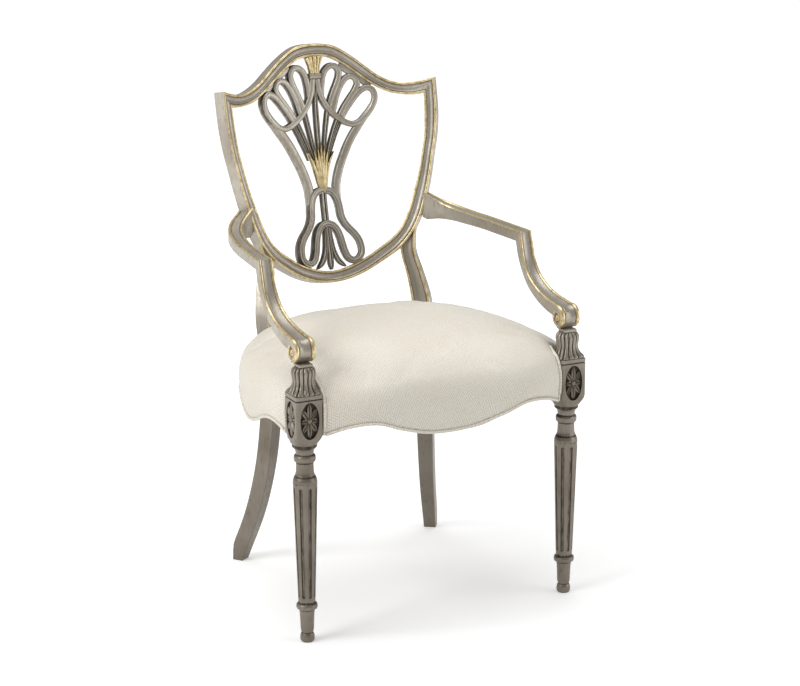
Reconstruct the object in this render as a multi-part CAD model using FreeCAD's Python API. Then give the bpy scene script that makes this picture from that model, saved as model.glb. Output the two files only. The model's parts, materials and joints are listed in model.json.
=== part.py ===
import FreeCAD, Part
import math
import os
from FreeCAD import Vector

os.makedirs("parts", exist_ok=True)

# Shield back armchair, in millimetres. While it is drawn, y is measured from the
# line of the front legs towards the back. Every piece is moved to the centred
# frame when it is saved.

# Front legs, turned and fluted, with a square block at the seat
leg_spread = 526.0
foot_radius = 12.7
foot_height = 18.0
cup_height = 43.0
cup_radius = 13.6
cup_collar_radius = 18.8
shaft_height = 235.0
shaft_low_radius = 15.0
shaft_high_radius = 21.6
neck_radius = 15.6
neck_height = 58.0
astragal_radius = 19.2
block_side = 50.8
block_height = 90.6
capital_height = 48.2
capital_radius = 21.2
abacus_side = 31.0
abacus_thickness = 5.2
flute_count = 8
flute_width = 5.6
flute_depth = 2.4
flute_margin = 7.0
oval_height = 66.0
oval_width = 37.0
oval_depth = 4.0
oval_rise = 46.0

# Heights and half sizes that follow from the leg
leg_x = leg_spread / 2
half_block = block_side / 2
shaft_base = foot_height + cup_height + 12.0
shaft_top = shaft_base + shaft_height
block_base = shaft_top + neck_height
block_top = block_base + block_height
abacus_top = block_top + capital_height + abacus_thickness
oval_centre_height = block_base + oval_rise

# Seat
rail_set_down = 16.6
seat_edge_drop = 23.0
seat_crown_rise = 102.0
stuffing_side = 12.5
foam_edge_rise = 6.0
foam_rise = 38.0
foam_top_share = 0.86
soft_gap = 0.3
rail_width = 26.0
apron_corner_depth = 61.0
apron_arch_depth = 43.0
apron_drop_depth = 78.0
seat_overhang = 9.0
seat_bow = 27.0
seat_back_reach = 409.0
seat_middle = 229.0
seat_outline_facets = 44
welt_height = 5.0
welt_stand = 1.2
strap_width = 50.0
strap_thickness = 1.6
strap_count = 3
strap_spacing = 118.0
strap_middle = 190.0
dust_cover_thickness = 1.0
dust_cover_corners = [
    (180, -4),
    (232, 30),
    (246, 100),
    (238, 215),
    (186, 318),
    (126, 362),
]
glue_block_height = 30.0
glue_block_reach = 52.0
fit_gap = 0.2

# Heights of the seat, all carried by the leg block that the rails are tenoned into
rail_top_height = block_top - rail_set_down
seat_edge_height = rail_top_height - seat_edge_drop
seat_crown_height = seat_edge_height + seat_crown_rise
foam_bevel_height = rail_top_height + foam_edge_rise
foam_top_height = rail_top_height + foam_rise
apron_corner_height = rail_top_height - apron_corner_depth
apron_arch_height = rail_top_height - apron_arch_depth
apron_drop_height = rail_top_height - apron_drop_depth
under_seat = apron_drop_height - 62.0
over_seat = seat_crown_height + 41.0

# The back leans and is swept round the sitter
shield_gap = 14.0
shield_base_height = seat_crown_height + shield_gap
shield_setback = 439.6
shield_lean = 0.298
shield_straighten = 2.47e-4
sweep_radius_low = 226.0
sweep_radius_gain = 0.342
frame_depth = 23.0
bead_width = 4.2
channel_sink = 2.2

# Outline of the right half of the shield, as pairs of outer and inner points (x, rise)
crest_outline = [
    ((0, 452), (0, 429)),
    ((40, 447.5), (34, 423.5)),
    ((72, 429), (57.5, 411)),
    ((100, 407), (86, 390)),
    ((125, 387.5), (113, 370)),
    ((150, 376), (142, 354.5)),
    ((173, 373), (172, 350)),
    ((195, 377), (187, 351)),
    ((219, 385), (199.5, 354)),
]
stile_outline = [
    ((219, 385), (199.5, 354)),
    ((218.7, 362), (199.4, 344)),
    ((217.5, 322), (197.8, 314)),
    ((212, 278), (193.5, 272)),
    ((204, 240), (185.5, 234)),
    ((195, 198), (176.5, 198)),
    ((185, 160), (165.5, 164)),
    ((171.5, 120), (153.5, 130)),
    ((154, 87), (136.5, 97)),
    ((129, 57), (115, 74)),
    ((107, 40), (94, 58.5)),
]
lower_rail_outline = [
    ((107, 40), (94, 58.5)),
    ((85, 25.5), (75, 46)),
    ((60, 12.5), (53, 35)),
    ((30, 3.2), (27, 25.5)),
    ((0, 0), (0, 22)),
]

# Rear leg and upright, sawn as one piece with the shield's side
post_turn = 36.0
post_path = [
    (0, 203.0, 431.0),
    (20, 198.2, 424.2),
    (100, 179.4, 398.1),
    (200, 164.5, 376.7),
    (300, 156.7, 366.4),
    (rail_top_height - 55, 152.9, 365.1),
    (rail_top_height, 154.2, 370.8),
    (rail_top_height + 50, 156.3, 378.6),
    (shield_base_height + 7, 152.1, 396.2),
    (shield_base_height + 57, 145.5, 414.0),
    (shield_base_height + 99, 152.5, 422.5),
]
post_width_foot = 24.0
post_width_seat = 36.5
post_width_neck = 28.0
post_depth_foot = 34.0
post_depth_seat = 29.0
post_depth_neck = 18.0
heel_height = 34.0
heel_cut = 13.0

# Arms
arm_rise = 151.0
arm_height = abacus_top + arm_rise
arm_width = 27.0
arm_thickness = 20.5
arm_root_height = 49.0
arm_root_rise = 33.0
support_width = 26.8
support_bead = 4.6
scroll_radius = 22.0
scroll_setback = 8.3
volute_eye_radius = 7.0
volute_eye_stand = 1.4
scroll_height = abacus_top + scroll_radius - 1.0

# Joinery
tenon_thickness = 9.0
tenon_height = 38.0
tenon_length = 19.0
post_tenon_length = 13.0
dowel_radius = 4.0
dowel_length = 26.0
knuckle_dowel_radius = 3.0
knuckle_dowel_length = 18.0
screw_radius = 2.2
screw_head_radius = 4.4
screw_head_height = 3.0
screw_length = 44.0
front_screw_reach = 37.6
rear_screw_reach = 26.5
arm_screw_length = 40.0
arm_screw_setback = 19.0
splat_thickness = 15.0
splat_setback = 1.0
splat_tenon_width = 18.0
splat_foot_tenon = 9.0
splat_foot_spread = 57.0
splat_tenon_length = 9.0
saw_tolerance = 0.35

def revolve_profile(points):
    """Solid of revolution about Z from (radius, height) points."""
    corners = [Vector(r, 0, z) for r, z in points]
    wire = Part.makePolygon(corners + [corners[0]])
    return Part.Face(wire).revolve(Vector(0, 0, 0), Vector(0, 0, 1), 360)


def box(x0, x1, y0, y1, z0, z1):
    """Box between two corners."""
    return Part.makeBox(x1 - x0, y1 - y0, z1 - z0, Vector(x0, y0, z0))


def mirrored(shape):
    """The same piece on the other side of the chair."""
    return shape.mirror(Vector(0, 0, 0), Vector(1, 0, 0))


def largest(shape):
    """The biggest solid of a cut piece."""
    return max(shape.Solids, key=lambda solid: solid.Volume)


def smooth(points):
    """Smooth edge through points."""
    curve = Part.BSplineCurve()
    curve.interpolate(points)
    return curve.toShape()


def sawn(edge):
    """Points that a fret saw follows along a curve, within the cutting tolerance."""
    return edge.discretize(Deflection=saw_tolerance)


def loft(sections, ruled=False):
    """Solid through a row of closed sections."""
    return Part.makeLoft(sections, True, ruled)


def polygon(points):
    """Closed wire of straight edges."""
    return Part.makePolygon(points + [points[0]])


# Front leg


def turned_leg():
    """Lathe work from the foot up to the square block."""
    cup_top = foot_height + cup_height
    ring_low = shaft_top + 26
    ring_high = ring_low + 12.4
    rows = [
        (0, 0),
        (foot_radius - 1, 0),
        (foot_radius - 2, foot_height - 1),
        (cup_radius, cup_top - 2),
        (cup_collar_radius, cup_top + 3),
        (cup_collar_radius, cup_top + 8),
        (shaft_low_radius, shaft_base),
        (shaft_high_radius, shaft_top - 13),
        (shaft_high_radius - 3, shaft_top),
        (neck_radius, ring_low - 4),
        (astragal_radius, ring_low + 4),
        (astragal_radius, ring_high - 4),
        (neck_radius, ring_high),
        (neck_radius + 0.6, block_base - 14),
        (astragal_radius + 2.6, block_base - 5),
        (astragal_radius + 2.6, block_base),
        (0, block_base),
    ]
    return revolve_profile(rows)


def flutes():
    """Flat bottomed flutes that follow the taper of the shaft."""
    low = shaft_base + flute_margin
    high = shaft_top - 14 - flute_margin
    proud = 3.0
    profile = [
        Vector(shaft_low_radius - flute_depth, -flute_width / 2, low),
        Vector(shaft_low_radius + proud, -flute_width / 2, low),
        Vector(shaft_high_radius + proud, -flute_width / 2, high),
        Vector(shaft_high_radius - flute_depth, -flute_width / 2, high),
    ]
    cutter = Part.Face(polygon(profile)).extrude(Vector(0, flute_width, 0))
    turns = []
    for step in range(flute_count):
        turned = cutter.copy()
        turned.rotate(Vector(0, 0, 0), Vector(0, 0, 1), step * 360.0 / flute_count)
        turns.append(turned)
    return Part.makeCompound(turns)


def leg_block():
    """Square block with its lower corners turned away, and the capital above it."""
    top = block_top + capital_height
    square = box(-half_block, half_block, -half_block, half_block, block_base - 4, top)
    corner = half_block * math.sqrt(2)
    rows = [
        (0, block_base - 4),
        (astragal_radius + 2.6, block_base - 4),
        (corner - 3, block_base + 11),
        (corner + 0.5, block_base + 24),
        (corner + 0.5, block_top),
        (corner - 2.4, block_top),
        (corner - 8, block_top + 7),
        (capital_radius - 1.4, block_top + 18),
        (capital_radius, block_top + 36),
        (abacus_side / 2 + 1.5, top),
        (0, top),
    ]
    half = abacus_side / 2
    abacus = box(-half, half, -half, half, top, abacus_top)
    return square.common(revolve_profile(rows)).fuse(abacus)


def ellipse_face(width, height):
    """Upright oval in the XZ plane."""
    oval = Part.Ellipse(Vector(0, 0, height / 2), Vector(width / 2, 0, 0), Vector(0, 0, 0))
    return Part.Face(Part.Wire([oval.toShape()]))


def oval_pocket():
    """Cutter for the oval recess that frames the rosette, on the front face."""
    pocket = ellipse_face(oval_width, oval_height).extrude(Vector(0, oval_depth, 0))
    pocket.translate(Vector(0, -half_block, oval_centre_height))
    return pocket


def front_leg():
    """One front leg with its carved block, at the right side of the chair."""
    body = turned_leg().cut(flutes()).fuse(leg_block())
    pocket = oval_pocket()
    side_pocket = pocket.copy()
    side_pocket.rotate(Vector(0, 0, 0), Vector(0, 0, 1), 90)
    body = body.cut(pocket).cut(side_pocket)
    body.translate(Vector(leg_x, 0, 0))
    return body.removeSplitter()


# Back


def sweep_radius(rise):
    """Radius of the back in plan at a height."""
    return sweep_radius_low + sweep_radius_gain * rise


def centre_depth(rise):
    """Depth of the back's front face on the centre line."""
    return shield_setback + shield_lean * rise - shield_straighten * rise**2


def back_point(x, rise):
    """Point on the swept front face of the back."""
    radius = sweep_radius(rise)
    return Vector(x, centre_depth(rise) - radius + math.sqrt(radius**2 - x**2), shield_base_height + rise)


def back_normal(x, rise):
    """Forward normal of the swept front face."""
    step = 0.5
    across = back_point(x + step, rise) - back_point(x - step, rise)
    up = back_point(x, rise + step) - back_point(x, rise - step)
    normal = across.cross(up)
    normal.normalize()
    return normal if normal.y < 0 else normal * -1


def moulded_section(outer, inner, normal, depth, bead):
    """Section of a frame member: a raised bead at each front edge and a sunk channel between."""
    across = inner - outer
    across.normalize()
    sunk = normal * channel_sink
    return polygon(
        [
            outer,
            outer + across * bead,
            outer + across * bead - sunk,
            inner - across * bead - sunk,
            inner - across * bead,
            inner,
            inner - normal * depth,
            outer - normal * depth,
        ]
    )


def shield_section(pair, side):
    """Section of the shield frame at one pair of outline points."""
    (xo, ro), (xi, ri) = pair
    outer = back_point(side * xo, ro)
    inner = back_point(side * xi, ri)
    middle = back_normal(side * (xo + xi) / 2, (ro + ri) / 2)
    return moulded_section(outer, inner, middle, frame_depth, bead_width)


def crest_rail():
    """Top rail from ear to ear."""
    left = [shield_section(pair, -1) for pair in reversed(crest_outline[1:])]
    right = [shield_section(pair, 1) for pair in crest_outline]
    return loft(left + right)


def lower_rail():
    """Rounded bottom of the shield."""
    left = [shield_section(pair, -1) for pair in lower_rail_outline]
    right = [shield_section(pair, 1) for pair in reversed(lower_rail_outline[:-1])]
    return loft(left + right)


def post_value(height, foot, seat, neck):
    """Width or depth of the post at a height."""
    full, slimming, top = post_path[5][0], post_path[7][0], post_path[-1][0]
    if height <= full:
        return foot + (seat - foot) * math.sqrt(height / full)
    if height <= slimming:
        return seat
    return seat + (neck - seat) * (height - slimming) / (top - slimming)


def post_section(knot, grow):
    """Level section of the post, turned to face the sitter."""
    height, x, y = knot
    angle = math.radians(post_turn)
    across = Vector(math.cos(angle), -math.sin(angle), 0)
    back = Vector(math.sin(angle), math.cos(angle), 0)
    half = post_value(height, post_width_foot, post_width_seat, post_width_neck) / 2 + grow
    depth = post_value(height, post_depth_foot, post_depth_seat, post_depth_neck)
    face = Vector(x, y, height)
    front = face - back * grow
    rear = face + back * (depth + grow)
    side = across * half
    return polygon([front - side, front + side, rear + side, rear - side])


def post_blank(knots, grow):
    """Sabre leg and upright below the shield, or its clearance."""
    return loft([post_section(knot, grow) for knot in knots])


def heel_cutter():
    """Takes the heel off the back of the foot."""
    angle = math.radians(post_turn)
    back = Vector(math.sin(angle), math.cos(angle), 0)
    across = Vector(math.cos(angle), -math.sin(angle), 0)
    _, x, y = post_path[0]
    heel = Vector(x, y, 0) + back * post_depth_foot
    start = heel - back * heel_cut - across * 40
    wedge = [start, start + back * 60, start + back * 60 + Vector(0, 0, heel_height)]
    wedge.append(start + back * (heel_cut - 16) + Vector(0, 0, heel_height))
    return Part.Face(polygon(wedge)).extrude(across * 80)


def back_post():
    """Rear leg, upright and shield side in one piece, at the right side."""
    stile = loft([shield_section(pair, 1) for pair in stile_outline])
    leg = post_blank(post_path, 0).cut(heel_cutter())
    face = []
    for height, x, y in post_path[6:]:
        face.append(channel_section(height, x, y))
    leg = leg.cut(loft(face))
    return stile.fuse(leg)


def channel_section(height, x, y):
    """Section of the channel sunk between the beads on the upright's face."""
    angle = math.radians(post_turn)
    across = Vector(math.cos(angle), -math.sin(angle), 0)
    back = Vector(math.sin(angle), math.cos(angle), 0)
    half = post_value(height, post_width_foot, post_width_seat, post_width_neck) / 2 - bead_width
    face = Vector(x, y, height)
    front = face - back * 2
    rear = face + back * channel_sink
    side = across * half
    return polygon([front - side, front + side, rear + side, rear - side])


# Splat

splat_head = [(0, 441), (30, 437), (60, 422), (88, 400)]
splat_edge = [
    (119, 371),
    (121.7, 350),
    (109.5, 317.5),
    (85.7, 293),
    (64.7, 261.5),
    (47.6, 224),
    (35.9, 186.6),
    (33.2, 166),
    (37.2, 135),
    (49.6, 104),
    (66.1, 80.4),
    (69.5, 55),
    (56, 32),
    (48, 14),
]
splat_openings = {
    "crown": [(12, 394), (24, 410.5), (43, 423), (28, 434), (18, 424), (9.8, 406)],
    "inner_loop": [
        (18.6, 353), (24, 376), (33, 399), (40.5, 400), (42, 390), (31.6, 364.4),
        (23, 347),
    ],
    "middle_loop": [(40, 335), (53, 365.5), (70, 380.3), (78.2, 373), (61, 345.5), (42.5, 321)],
    "outer_loop": [
        (53, 310.5), (82, 346.5), (99, 358), (108.2, 347), (97, 322.5), (74, 304.5),
        (54, 303.5),
    ],
    "inner_reed": [(12.5, 328), (16.5, 305), (12, 265), (8, 244), (7.5, 270)],
    "middle_reed": [(31.5, 307.5), (31, 297), (21.5, 262), (15.8, 244.5), (20, 270)],
    "outer_reed": [(47, 292), (67.5, 284), (42, 240), (22, 181), (11, 179.5), (16, 225), (28, 244)],
    "pear": [
        (7, 161), (20, 153), (25.5, 124), (47, 86.5), (57.8, 62), (47, 44.8), (38, 54),
        (29, 90), (8, 112.5),
    ],
    "arch": [(10, 96), (19.5, 82), (27, 50), (43.5, 26), (36, 19), (16.5, 53)],
    "fan": [
        (6.2, 62), (8.8, 54), (12, 41), (20, 28), (22, 16), (13, 10), (4.5, 16), (4, 30),
        (4, 48),
    ],
}


def opening(points):
    """Face of one piercing at the right side, in the XZ plane."""
    corners = [Vector(x, 0, shield_base_height + r) for x, r in points]
    curve = Part.BSplineCurve()
    curve.interpolate(corners, PeriodicFlag=True)
    return Part.Face(polygon(sawn(curve.toShape())[:-1]))


def back_slab(setback, thickness):
    """Swept slab behind the front face of the back."""
    sections = []
    reach = 150.0
    for rise in (-20, 225, 470):
        radius = sweep_radius(rise)
        centre = centre_depth(rise) - radius
        edges = []
        for offset in (setback, setback + thickness):
            r = radius + offset
            middle = Vector(0, centre + r, shield_base_height + rise)
            end = Vector(reach, centre + math.sqrt(r**2 - reach**2), shield_base_height + rise)
            start = Vector(-reach, end.y, end.z)
            edges.append((start, middle, end))
        front, rear = edges
        sections.append(
            Part.Wire(
                [
                    Part.Arc(*front).toShape(),
                    Part.LineSegment(front[2], rear[2]).toShape(),
                    Part.Arc(rear[2], rear[1], rear[0]).toShape(),
                    Part.LineSegment(rear[0], front[0]).toShape(),
                ]
            )
        )
    return loft(sections)


def splat():
    """Pierced and swept splat."""
    edge = smooth([Vector(x, 0, shield_base_height + r) for x, r in splat_edge])
    head = [Vector(x, 0, shield_base_height + r) for x, r in splat_head]
    right = head + sawn(edge)
    left = [Vector(-p.x, 0, p.z) for p in reversed(right[1:])]
    face = Part.Face(polygon(right + left))
    holes = [opening(points) for points in splat_openings.values()]
    pierced = face.cut(holes + [mirrored(hole) for hole in holes])
    blank = pierced.extrude(Vector(0, 300, 0))
    blank.translate(Vector(0, 300, 0))
    return blank.common(back_slab(splat_setback, splat_thickness))


def splat_tenon(x, rise, width, grow):
    """One tenon of the splat into the frame."""
    point = back_point(x, rise)
    middle = point.y + splat_setback + splat_thickness / 2
    half = width / 2 + grow
    thick = splat_thickness / 4 + grow
    long = splat_tenon_length + grow
    return box(x - half, x + half, middle - thick, middle + thick, point.z - long, point.z + long)


def splat_tenons(grow):
    """Tenon into the crest rail and two into the lower rail, or their mortises."""
    top = crest_outline[0][1][1]
    bottom = lower_rail_outline[-1][1][1]
    foot = splat_foot_spread / 2
    return [
        splat_tenon(0, top + 3, splat_tenon_width, grow),
        splat_tenon(foot, bottom + 1, splat_foot_tenon, grow),
        splat_tenon(-foot, bottom + 1, splat_foot_tenon, grow),
    ]


# Arms


def level_vector(dx, dy):
    """Unit vector in plan."""
    size = math.hypot(dx, dy)
    return Vector(dx / size, dy / size, 0)


def arm_stations():
    """Centre points of the arm in plan, with the height of its top and its thickness."""
    reach = 419.0
    root_x = 194.0
    bow = [
        (185, 0.985, 0.5),
        (232, 0.925, 2),
        (285, 0.845, 4),
        (335, 0.70, 7),
        (375, 0.53, 12),
        (402, 0.30, 20),
        (reach, 0.0, arm_root_rise),
    ]
    rows = []
    for y, share, rise in bow:
        x = root_x + (leg_x - root_x) * share
        deep = arm_thickness + (arm_root_height - arm_thickness) * (1 - share) ** 2.2
        rows.append((Vector(x, y, arm_height + rise), deep))
    return rows


def arm_section(point, across, thickness, width):
    """Upright section of the arm."""
    outer = point + across * (width / 2)
    inner = point - across * (width / 2)
    return moulded_section(outer, inner, Vector(0, 0, 1), thickness, bead_width)


def knuckle():
    """Top and bottom of the mitre between arm and support, as (y, z)."""
    return (157.5, arm_height), (171.0, arm_height - arm_thickness)


def arm():
    """Arm from the knuckle back to the shield."""
    (y0, z0), (y1, z1) = knuckle()
    lean = Vector(0, y1 - y0, z1 - z0)
    half = Vector(support_width / 2, 0, 0)
    top = Vector(leg_x, y0, z0)
    normal = lean * -1
    normal.normalize()
    sections = [moulded_section(top + half, top - half, normal, lean.Length, bead_width)]
    rows = arm_stations()
    points = [top] + [row[0] for row in rows]
    for index, (point, deep) in enumerate(rows):
        before = points[index]
        after = points[min(index + 2, len(points) - 1)]
        along = level_vector(after.x - before.x, after.y - before.y)
        across = Vector(along.y, -along.x, 0)
        sections.append(arm_section(point, across, deep, arm_width))
    last, deep = rows[-1]
    run = level_vector(last.x - rows[-2][0].x, last.y - rows[-2][0].y)
    across = Vector(run.y, -run.x, 0)
    sections.append(arm_section(last + run * 14 + Vector(0, 0, 8), across, deep + 8, arm_width))
    return loft(sections)


def support_profile(sink):
    """Side outline of the arm support and its scroll, as a face in the YZ plane."""
    (y0, z0), (y1, z1) = knuckle()
    cy = scroll_setback
    cz = scroll_height
    radius = scroll_radius - sink
    slope = Vector(0, y1 - y0, z1 - z0)
    slope.normalize()
    start = Vector(0, y0, z0) + slope * sink
    front = [
        start,
        Vector(0, 148 + sink, z0 - 33),
        Vector(0, 124 + sink * 0.7, z0 - 72 - sink * 0.7),
        Vector(0, 72, abacus_top + 52 - sink),
        Vector(0, cy + 2, cz + radius),
    ]
    rear = [
        Vector(0, cy + scroll_radius * 0.92, cz - scroll_radius * 0.39),
        Vector(0, 70, abacus_top + 28),
        Vector(0, 134, abacus_top + 65),
        Vector(0, y1, z1),
    ]
    tip = Vector(0, cy - radius, cz)
    base = Vector(0, cy - radius * 0.42, cz - radius * 0.9)
    flat = abacus_top
    foot_front = Vector(0, cy - 7.0, flat)
    foot_rear = Vector(0, cy + 9.0, flat)
    edges = [
        smooth(front),
        Part.Arc(front[-1], tip, base).toShape(),
        Part.LineSegment(base, foot_front).toShape(),
        Part.LineSegment(foot_front, foot_rear).toShape(),
        Part.LineSegment(foot_rear, rear[0]).toShape(),
        smooth(rear),
        Part.LineSegment(rear[-1], start).toShape(),
    ]
    return Part.Face(Part.Wire(edges))


def arm_support():
    """Swept support with its scroll, sawn from one board, with a sunk channel on its face."""
    half = support_width / 2
    bead = support_bead
    outer = support_profile(0).extrude(Vector(bead, 0, 0))
    cheeks = outer.copy()
    outer.translate(Vector(half - bead, 0, 0))
    cheeks.translate(Vector(-half, 0, 0))
    middle = support_profile(channel_sink).extrude(Vector(support_width - 2 * bead, 0, 0))
    middle.translate(Vector(bead - half, 0, 0))
    eye = Part.makeCylinder(
        volute_eye_radius,
        support_width + 2 * volute_eye_stand,
        Vector(-half - volute_eye_stand, scroll_setback, scroll_height),
        Vector(1, 0, 0),
    )
    body = middle.fuse([outer, cheeks, eye])
    body.translate(Vector(leg_x, 0, 0))
    return body.removeSplitter()


# Seat


def seat_half_outline():
    """Widest outline of the upholstery, from the front centre round to the back centre."""
    side = leg_x + half_block + seat_overhang
    front = -half_block - seat_bow
    back = seat_back_reach
    return [
        (0, front + 2),
        (145, front - 4),
        (200, front + 11),
        (leg_x - 16, front + 35),
        (side - 8, 30),
        (side, 100),
        (side - 13, 230),
        (side - 71, 350),
        (side - 121, back - 18),
        (side - 192, back - 2),
        (0, back),
    ]


def seat_wire(share, height, inset):
    """Outline of the upholstery, shrunk towards the middle of the seat."""
    centre = Vector(0, seat_middle, 0)
    right = [Vector(x, y, 0) for x, y in seat_half_outline()]
    left = [Vector(-p.x, p.y, 0) for p in reversed(right[1:-1])]
    outline = right + left
    placed = []
    steps = [0.0]
    for index, point in enumerate(outline):
        ray = point - centre
        spot = centre + ray * share * (1 - inset / ray.Length)
        placed.append(Vector(spot.x, spot.y, height))
        steps.append(steps[-1] + point.distanceToPoint(outline[(index + 1) % len(outline)]))
    curve = Part.BSplineCurve()
    curve.interpolate(placed, PeriodicFlag=True, Parameters=steps)
    return polygon(curve.toShape().discretize(Number=seat_outline_facets + 1)[:-1])


def dome(stand):
    """Crowned body of the upholstery, larger by a stand-off."""
    low = apron_drop_height - 20
    crown = seat_crown_height - seat_edge_height
    sections = [seat_wire(0.966, low, -stand), seat_wire(1.0, seat_edge_height, -stand)]
    for share in (0.985, 0.95, 0.88, 0.76, 0.58, 0.34, 0.1):
        lift = (1 - share**3.33) ** 0.389
        sections.append(seat_wire(share, seat_edge_height + crown * lift, -stand))
    return loft(sections, True)


def core(inset, low):
    """Straight sided room inside the stuffed cover, bevelled at the top."""
    wall = Part.Face(seat_wire(1.0, low, inset)).extrude(Vector(0, 0, foam_bevel_height - low))
    shoulder = seat_wire(1.0, foam_bevel_height, inset)
    top = seat_wire(foam_top_share, foam_top_height, inset)
    return wall.fuse(loft([shoulder, top], True))


def below_apron(raise_by):
    """Everything under the serpentine lower edge of the seat, raised by a height."""
    corner = apron_corner_height + raise_by
    arch = apron_arch_height + raise_by
    drop = apron_drop_height + raise_by
    low = apron_drop_height - 60
    front_reach = leg_x - half_block
    wave = [
        (front_reach, corner),
        (front_reach - 38, arch - 4),
        (front_reach - 84, arch),
        (front_reach - 134, (arch + drop) / 2 + 2),
        (front_reach - 182, drop + 4),
        (0, drop),
    ]
    right = [Vector(x, 0, z) for x, z in wave]
    left = [Vector(-p.x, 0, p.z) for p in reversed(right[:-1])]
    spline = smooth(right + left)
    ends = [Vector(-front_reach, 0, corner), Vector(-front_reach - 80, 0, corner)]
    ends += [Vector(-front_reach - 80, 0, low), Vector(front_reach + 80, 0, low)]
    ends += [Vector(front_reach + 80, 0, corner), Vector(front_reach, 0, corner)]
    front = Part.Face(Part.Wire([spline] + Part.makePolygon(ends).Edges))
    front = front.extrude(Vector(0, 100 + half_block, 0))
    front.translate(Vector(0, -100, 0))
    start = half_block
    finish = 354.0
    middle = (start + finish) / 2
    side_wave = [
        (start, corner),
        (start + 18, (corner + arch) / 2 + 4),
        (start + 46, arch - 2),
        (start + 84, (arch + drop) / 2 + 5),
        (start + 122, drop + 4),
        (middle, drop),
    ]
    near = [Vector(0, y, z) for y, z in side_wave]
    far = [Vector(0, 2 * middle - p.y, p.z) for p in reversed(near[:-1])]
    spline = smooth(near + far)
    ends = [Vector(0, finish, corner), Vector(0, finish + 90, corner), Vector(0, finish + 90, low)]
    ends += [Vector(0, start, low), Vector(0, start, corner)]
    side = Part.Face(Part.Wire([spline] + Part.makePolygon(ends).Edges))
    side = side.extrude(Vector(800, 0, 0))
    side.translate(Vector(-400, 0, 0))
    return front.fuse(side)


def leg_clearance(gap):
    """Room for both leg blocks in the seat corners."""
    reach = half_block + gap
    pair = []
    for side in (1, -1):
        x0, x1 = sorted([side * (leg_x - reach), side * (leg_x + 60)])
        pair.append(box(x0, x1, -120, reach, under_seat, over_seat))
    return Part.makeCompound(pair)


def both_posts(grow):
    """Room for both posts at the seat."""
    blank = post_blank(post_path[3:9], grow)
    return Part.makeCompound([blank, mirrored(blank)])


def seat_ring(inset, grow):
    """Ring of the seat rails, with clearance all round for what it is cut from."""
    low = apron_drop_height - 20
    reach = rail_top_height - low + grow
    outer = Part.Face(seat_wire(1.0, low, inset - grow)).extrude(Vector(0, 0, reach))
    inner = Part.Face(seat_wire(1.0, low, inset + rail_width + grow)).extrude(Vector(0, 0, reach))
    return outer.cut(inner)


def post_slot():
    """Slot across the ring of rails, as wide as the post."""
    _, x, y = post_path[6]
    half = post_width_seat / 2 + fit_gap
    slot = box(-half, half, -60, 60, under_seat, over_seat)
    slot.rotate(Vector(0, 0, 0), Vector(0, 0, 1), -post_turn)
    slot.translate(Vector(x, y, 0))
    return slot


def split_rails(ring):
    """The ring as front, right side and rear rails."""
    reach = leg_x - half_block - fit_gap
    slots = [post_slot(), mirrored(post_slot())]
    front_end = half_block + fit_gap
    parted = ring.cut(slots + [box(-400, 400, half_block, front_end, under_seat, over_seat)])
    front = largest(parted.common(box(-reach, reach, -200, half_block, under_seat, over_seat)))
    side = largest(parted.common(box(100, 400, front_end, 500, under_seat, over_seat)))
    rear = largest(parted.common(box(-170, 170, 300, 500, under_seat, over_seat)))
    return front, side, rear


def rail_tenon(x0, x1, y0, y1, grow):
    """Tenon block at the seat rails' height."""
    z0 = apron_arch_height + 3
    return box(x0 - grow, x1 + grow, y0 - grow, y1 + grow, z0 - grow, z0 + tenon_height + grow)


def front_tenon(grow):
    """Tenon at the right end of the front rail."""
    face = leg_x - half_block
    half = tenon_thickness / 2
    return rail_tenon(face - 3, face + tenon_length, -half, half, grow)


def side_tenon(grow):
    """Tenon at the front end of the right side rail."""
    half = tenon_thickness / 2
    return rail_tenon(leg_x - half, leg_x + half, half_block - tenon_length + 3, half_block + 3, grow)


def post_tenon(outward, grow):
    """Tenon of the side rail or the rear rail into the flank of the right post."""
    _, x, y = post_path[6]
    half = post_width_seat / 2
    z0 = apron_arch_height + 3
    if outward:
        x0, x1 = half - post_tenon_length, half + 3
    else:
        x0, x1 = -half - 3, post_tenon_length - half
    tenon = box(x0 - grow, x1 + grow, 3.5 - grow, 12.5 + grow, z0 - grow, z0 + tenon_height + grow)
    tenon.rotate(Vector(0, 0, 0), Vector(0, 0, 1), -post_turn)
    tenon.translate(Vector(x, y, 0))
    return tenon


def corner_block(front):
    """Three cornered glue block, at the right side."""
    top = rail_top_height - 4
    low = top - glue_block_height
    if front:
        corner = Vector(leg_x - 6, 6, low)
        legs = [Vector(-glue_block_reach - 34, 0, 0), Vector(0, glue_block_reach + 34, 0)]
    else:
        corner = Vector(196, 378, low)
        legs = [Vector(-glue_block_reach - 42, 0, 0), Vector(16, -glue_block_reach - 34, 0)]
    face = Part.Face(polygon([corner, corner + legs[0], corner + legs[1]]))
    return face.extrude(Vector(0, 0, glue_block_height))


def rod(radius, length, start, run, sides):
    """Straight rod with flats along it."""
    turn = FreeCAD.Rotation(Vector(0, 0, 1), run)
    rim = []
    for step in range(sides):
        angle = step * 2 * math.pi / sides
        rim.append(turn.multVec(Vector(radius * math.cos(angle), radius * math.sin(angle), 0)) + start)
    return Part.Face(polygon(rim)).extrude(run * length)


def screw(head_at, run, length, grow):
    """Wood screw with a flat head, driven along a direction."""
    head = rod(screw_head_radius + grow, screw_head_height, head_at, run, 12)
    shank_at = head_at + run * screw_head_height
    return head.fuse(rod(screw_radius + grow, length, shank_at, run, 8))


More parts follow.
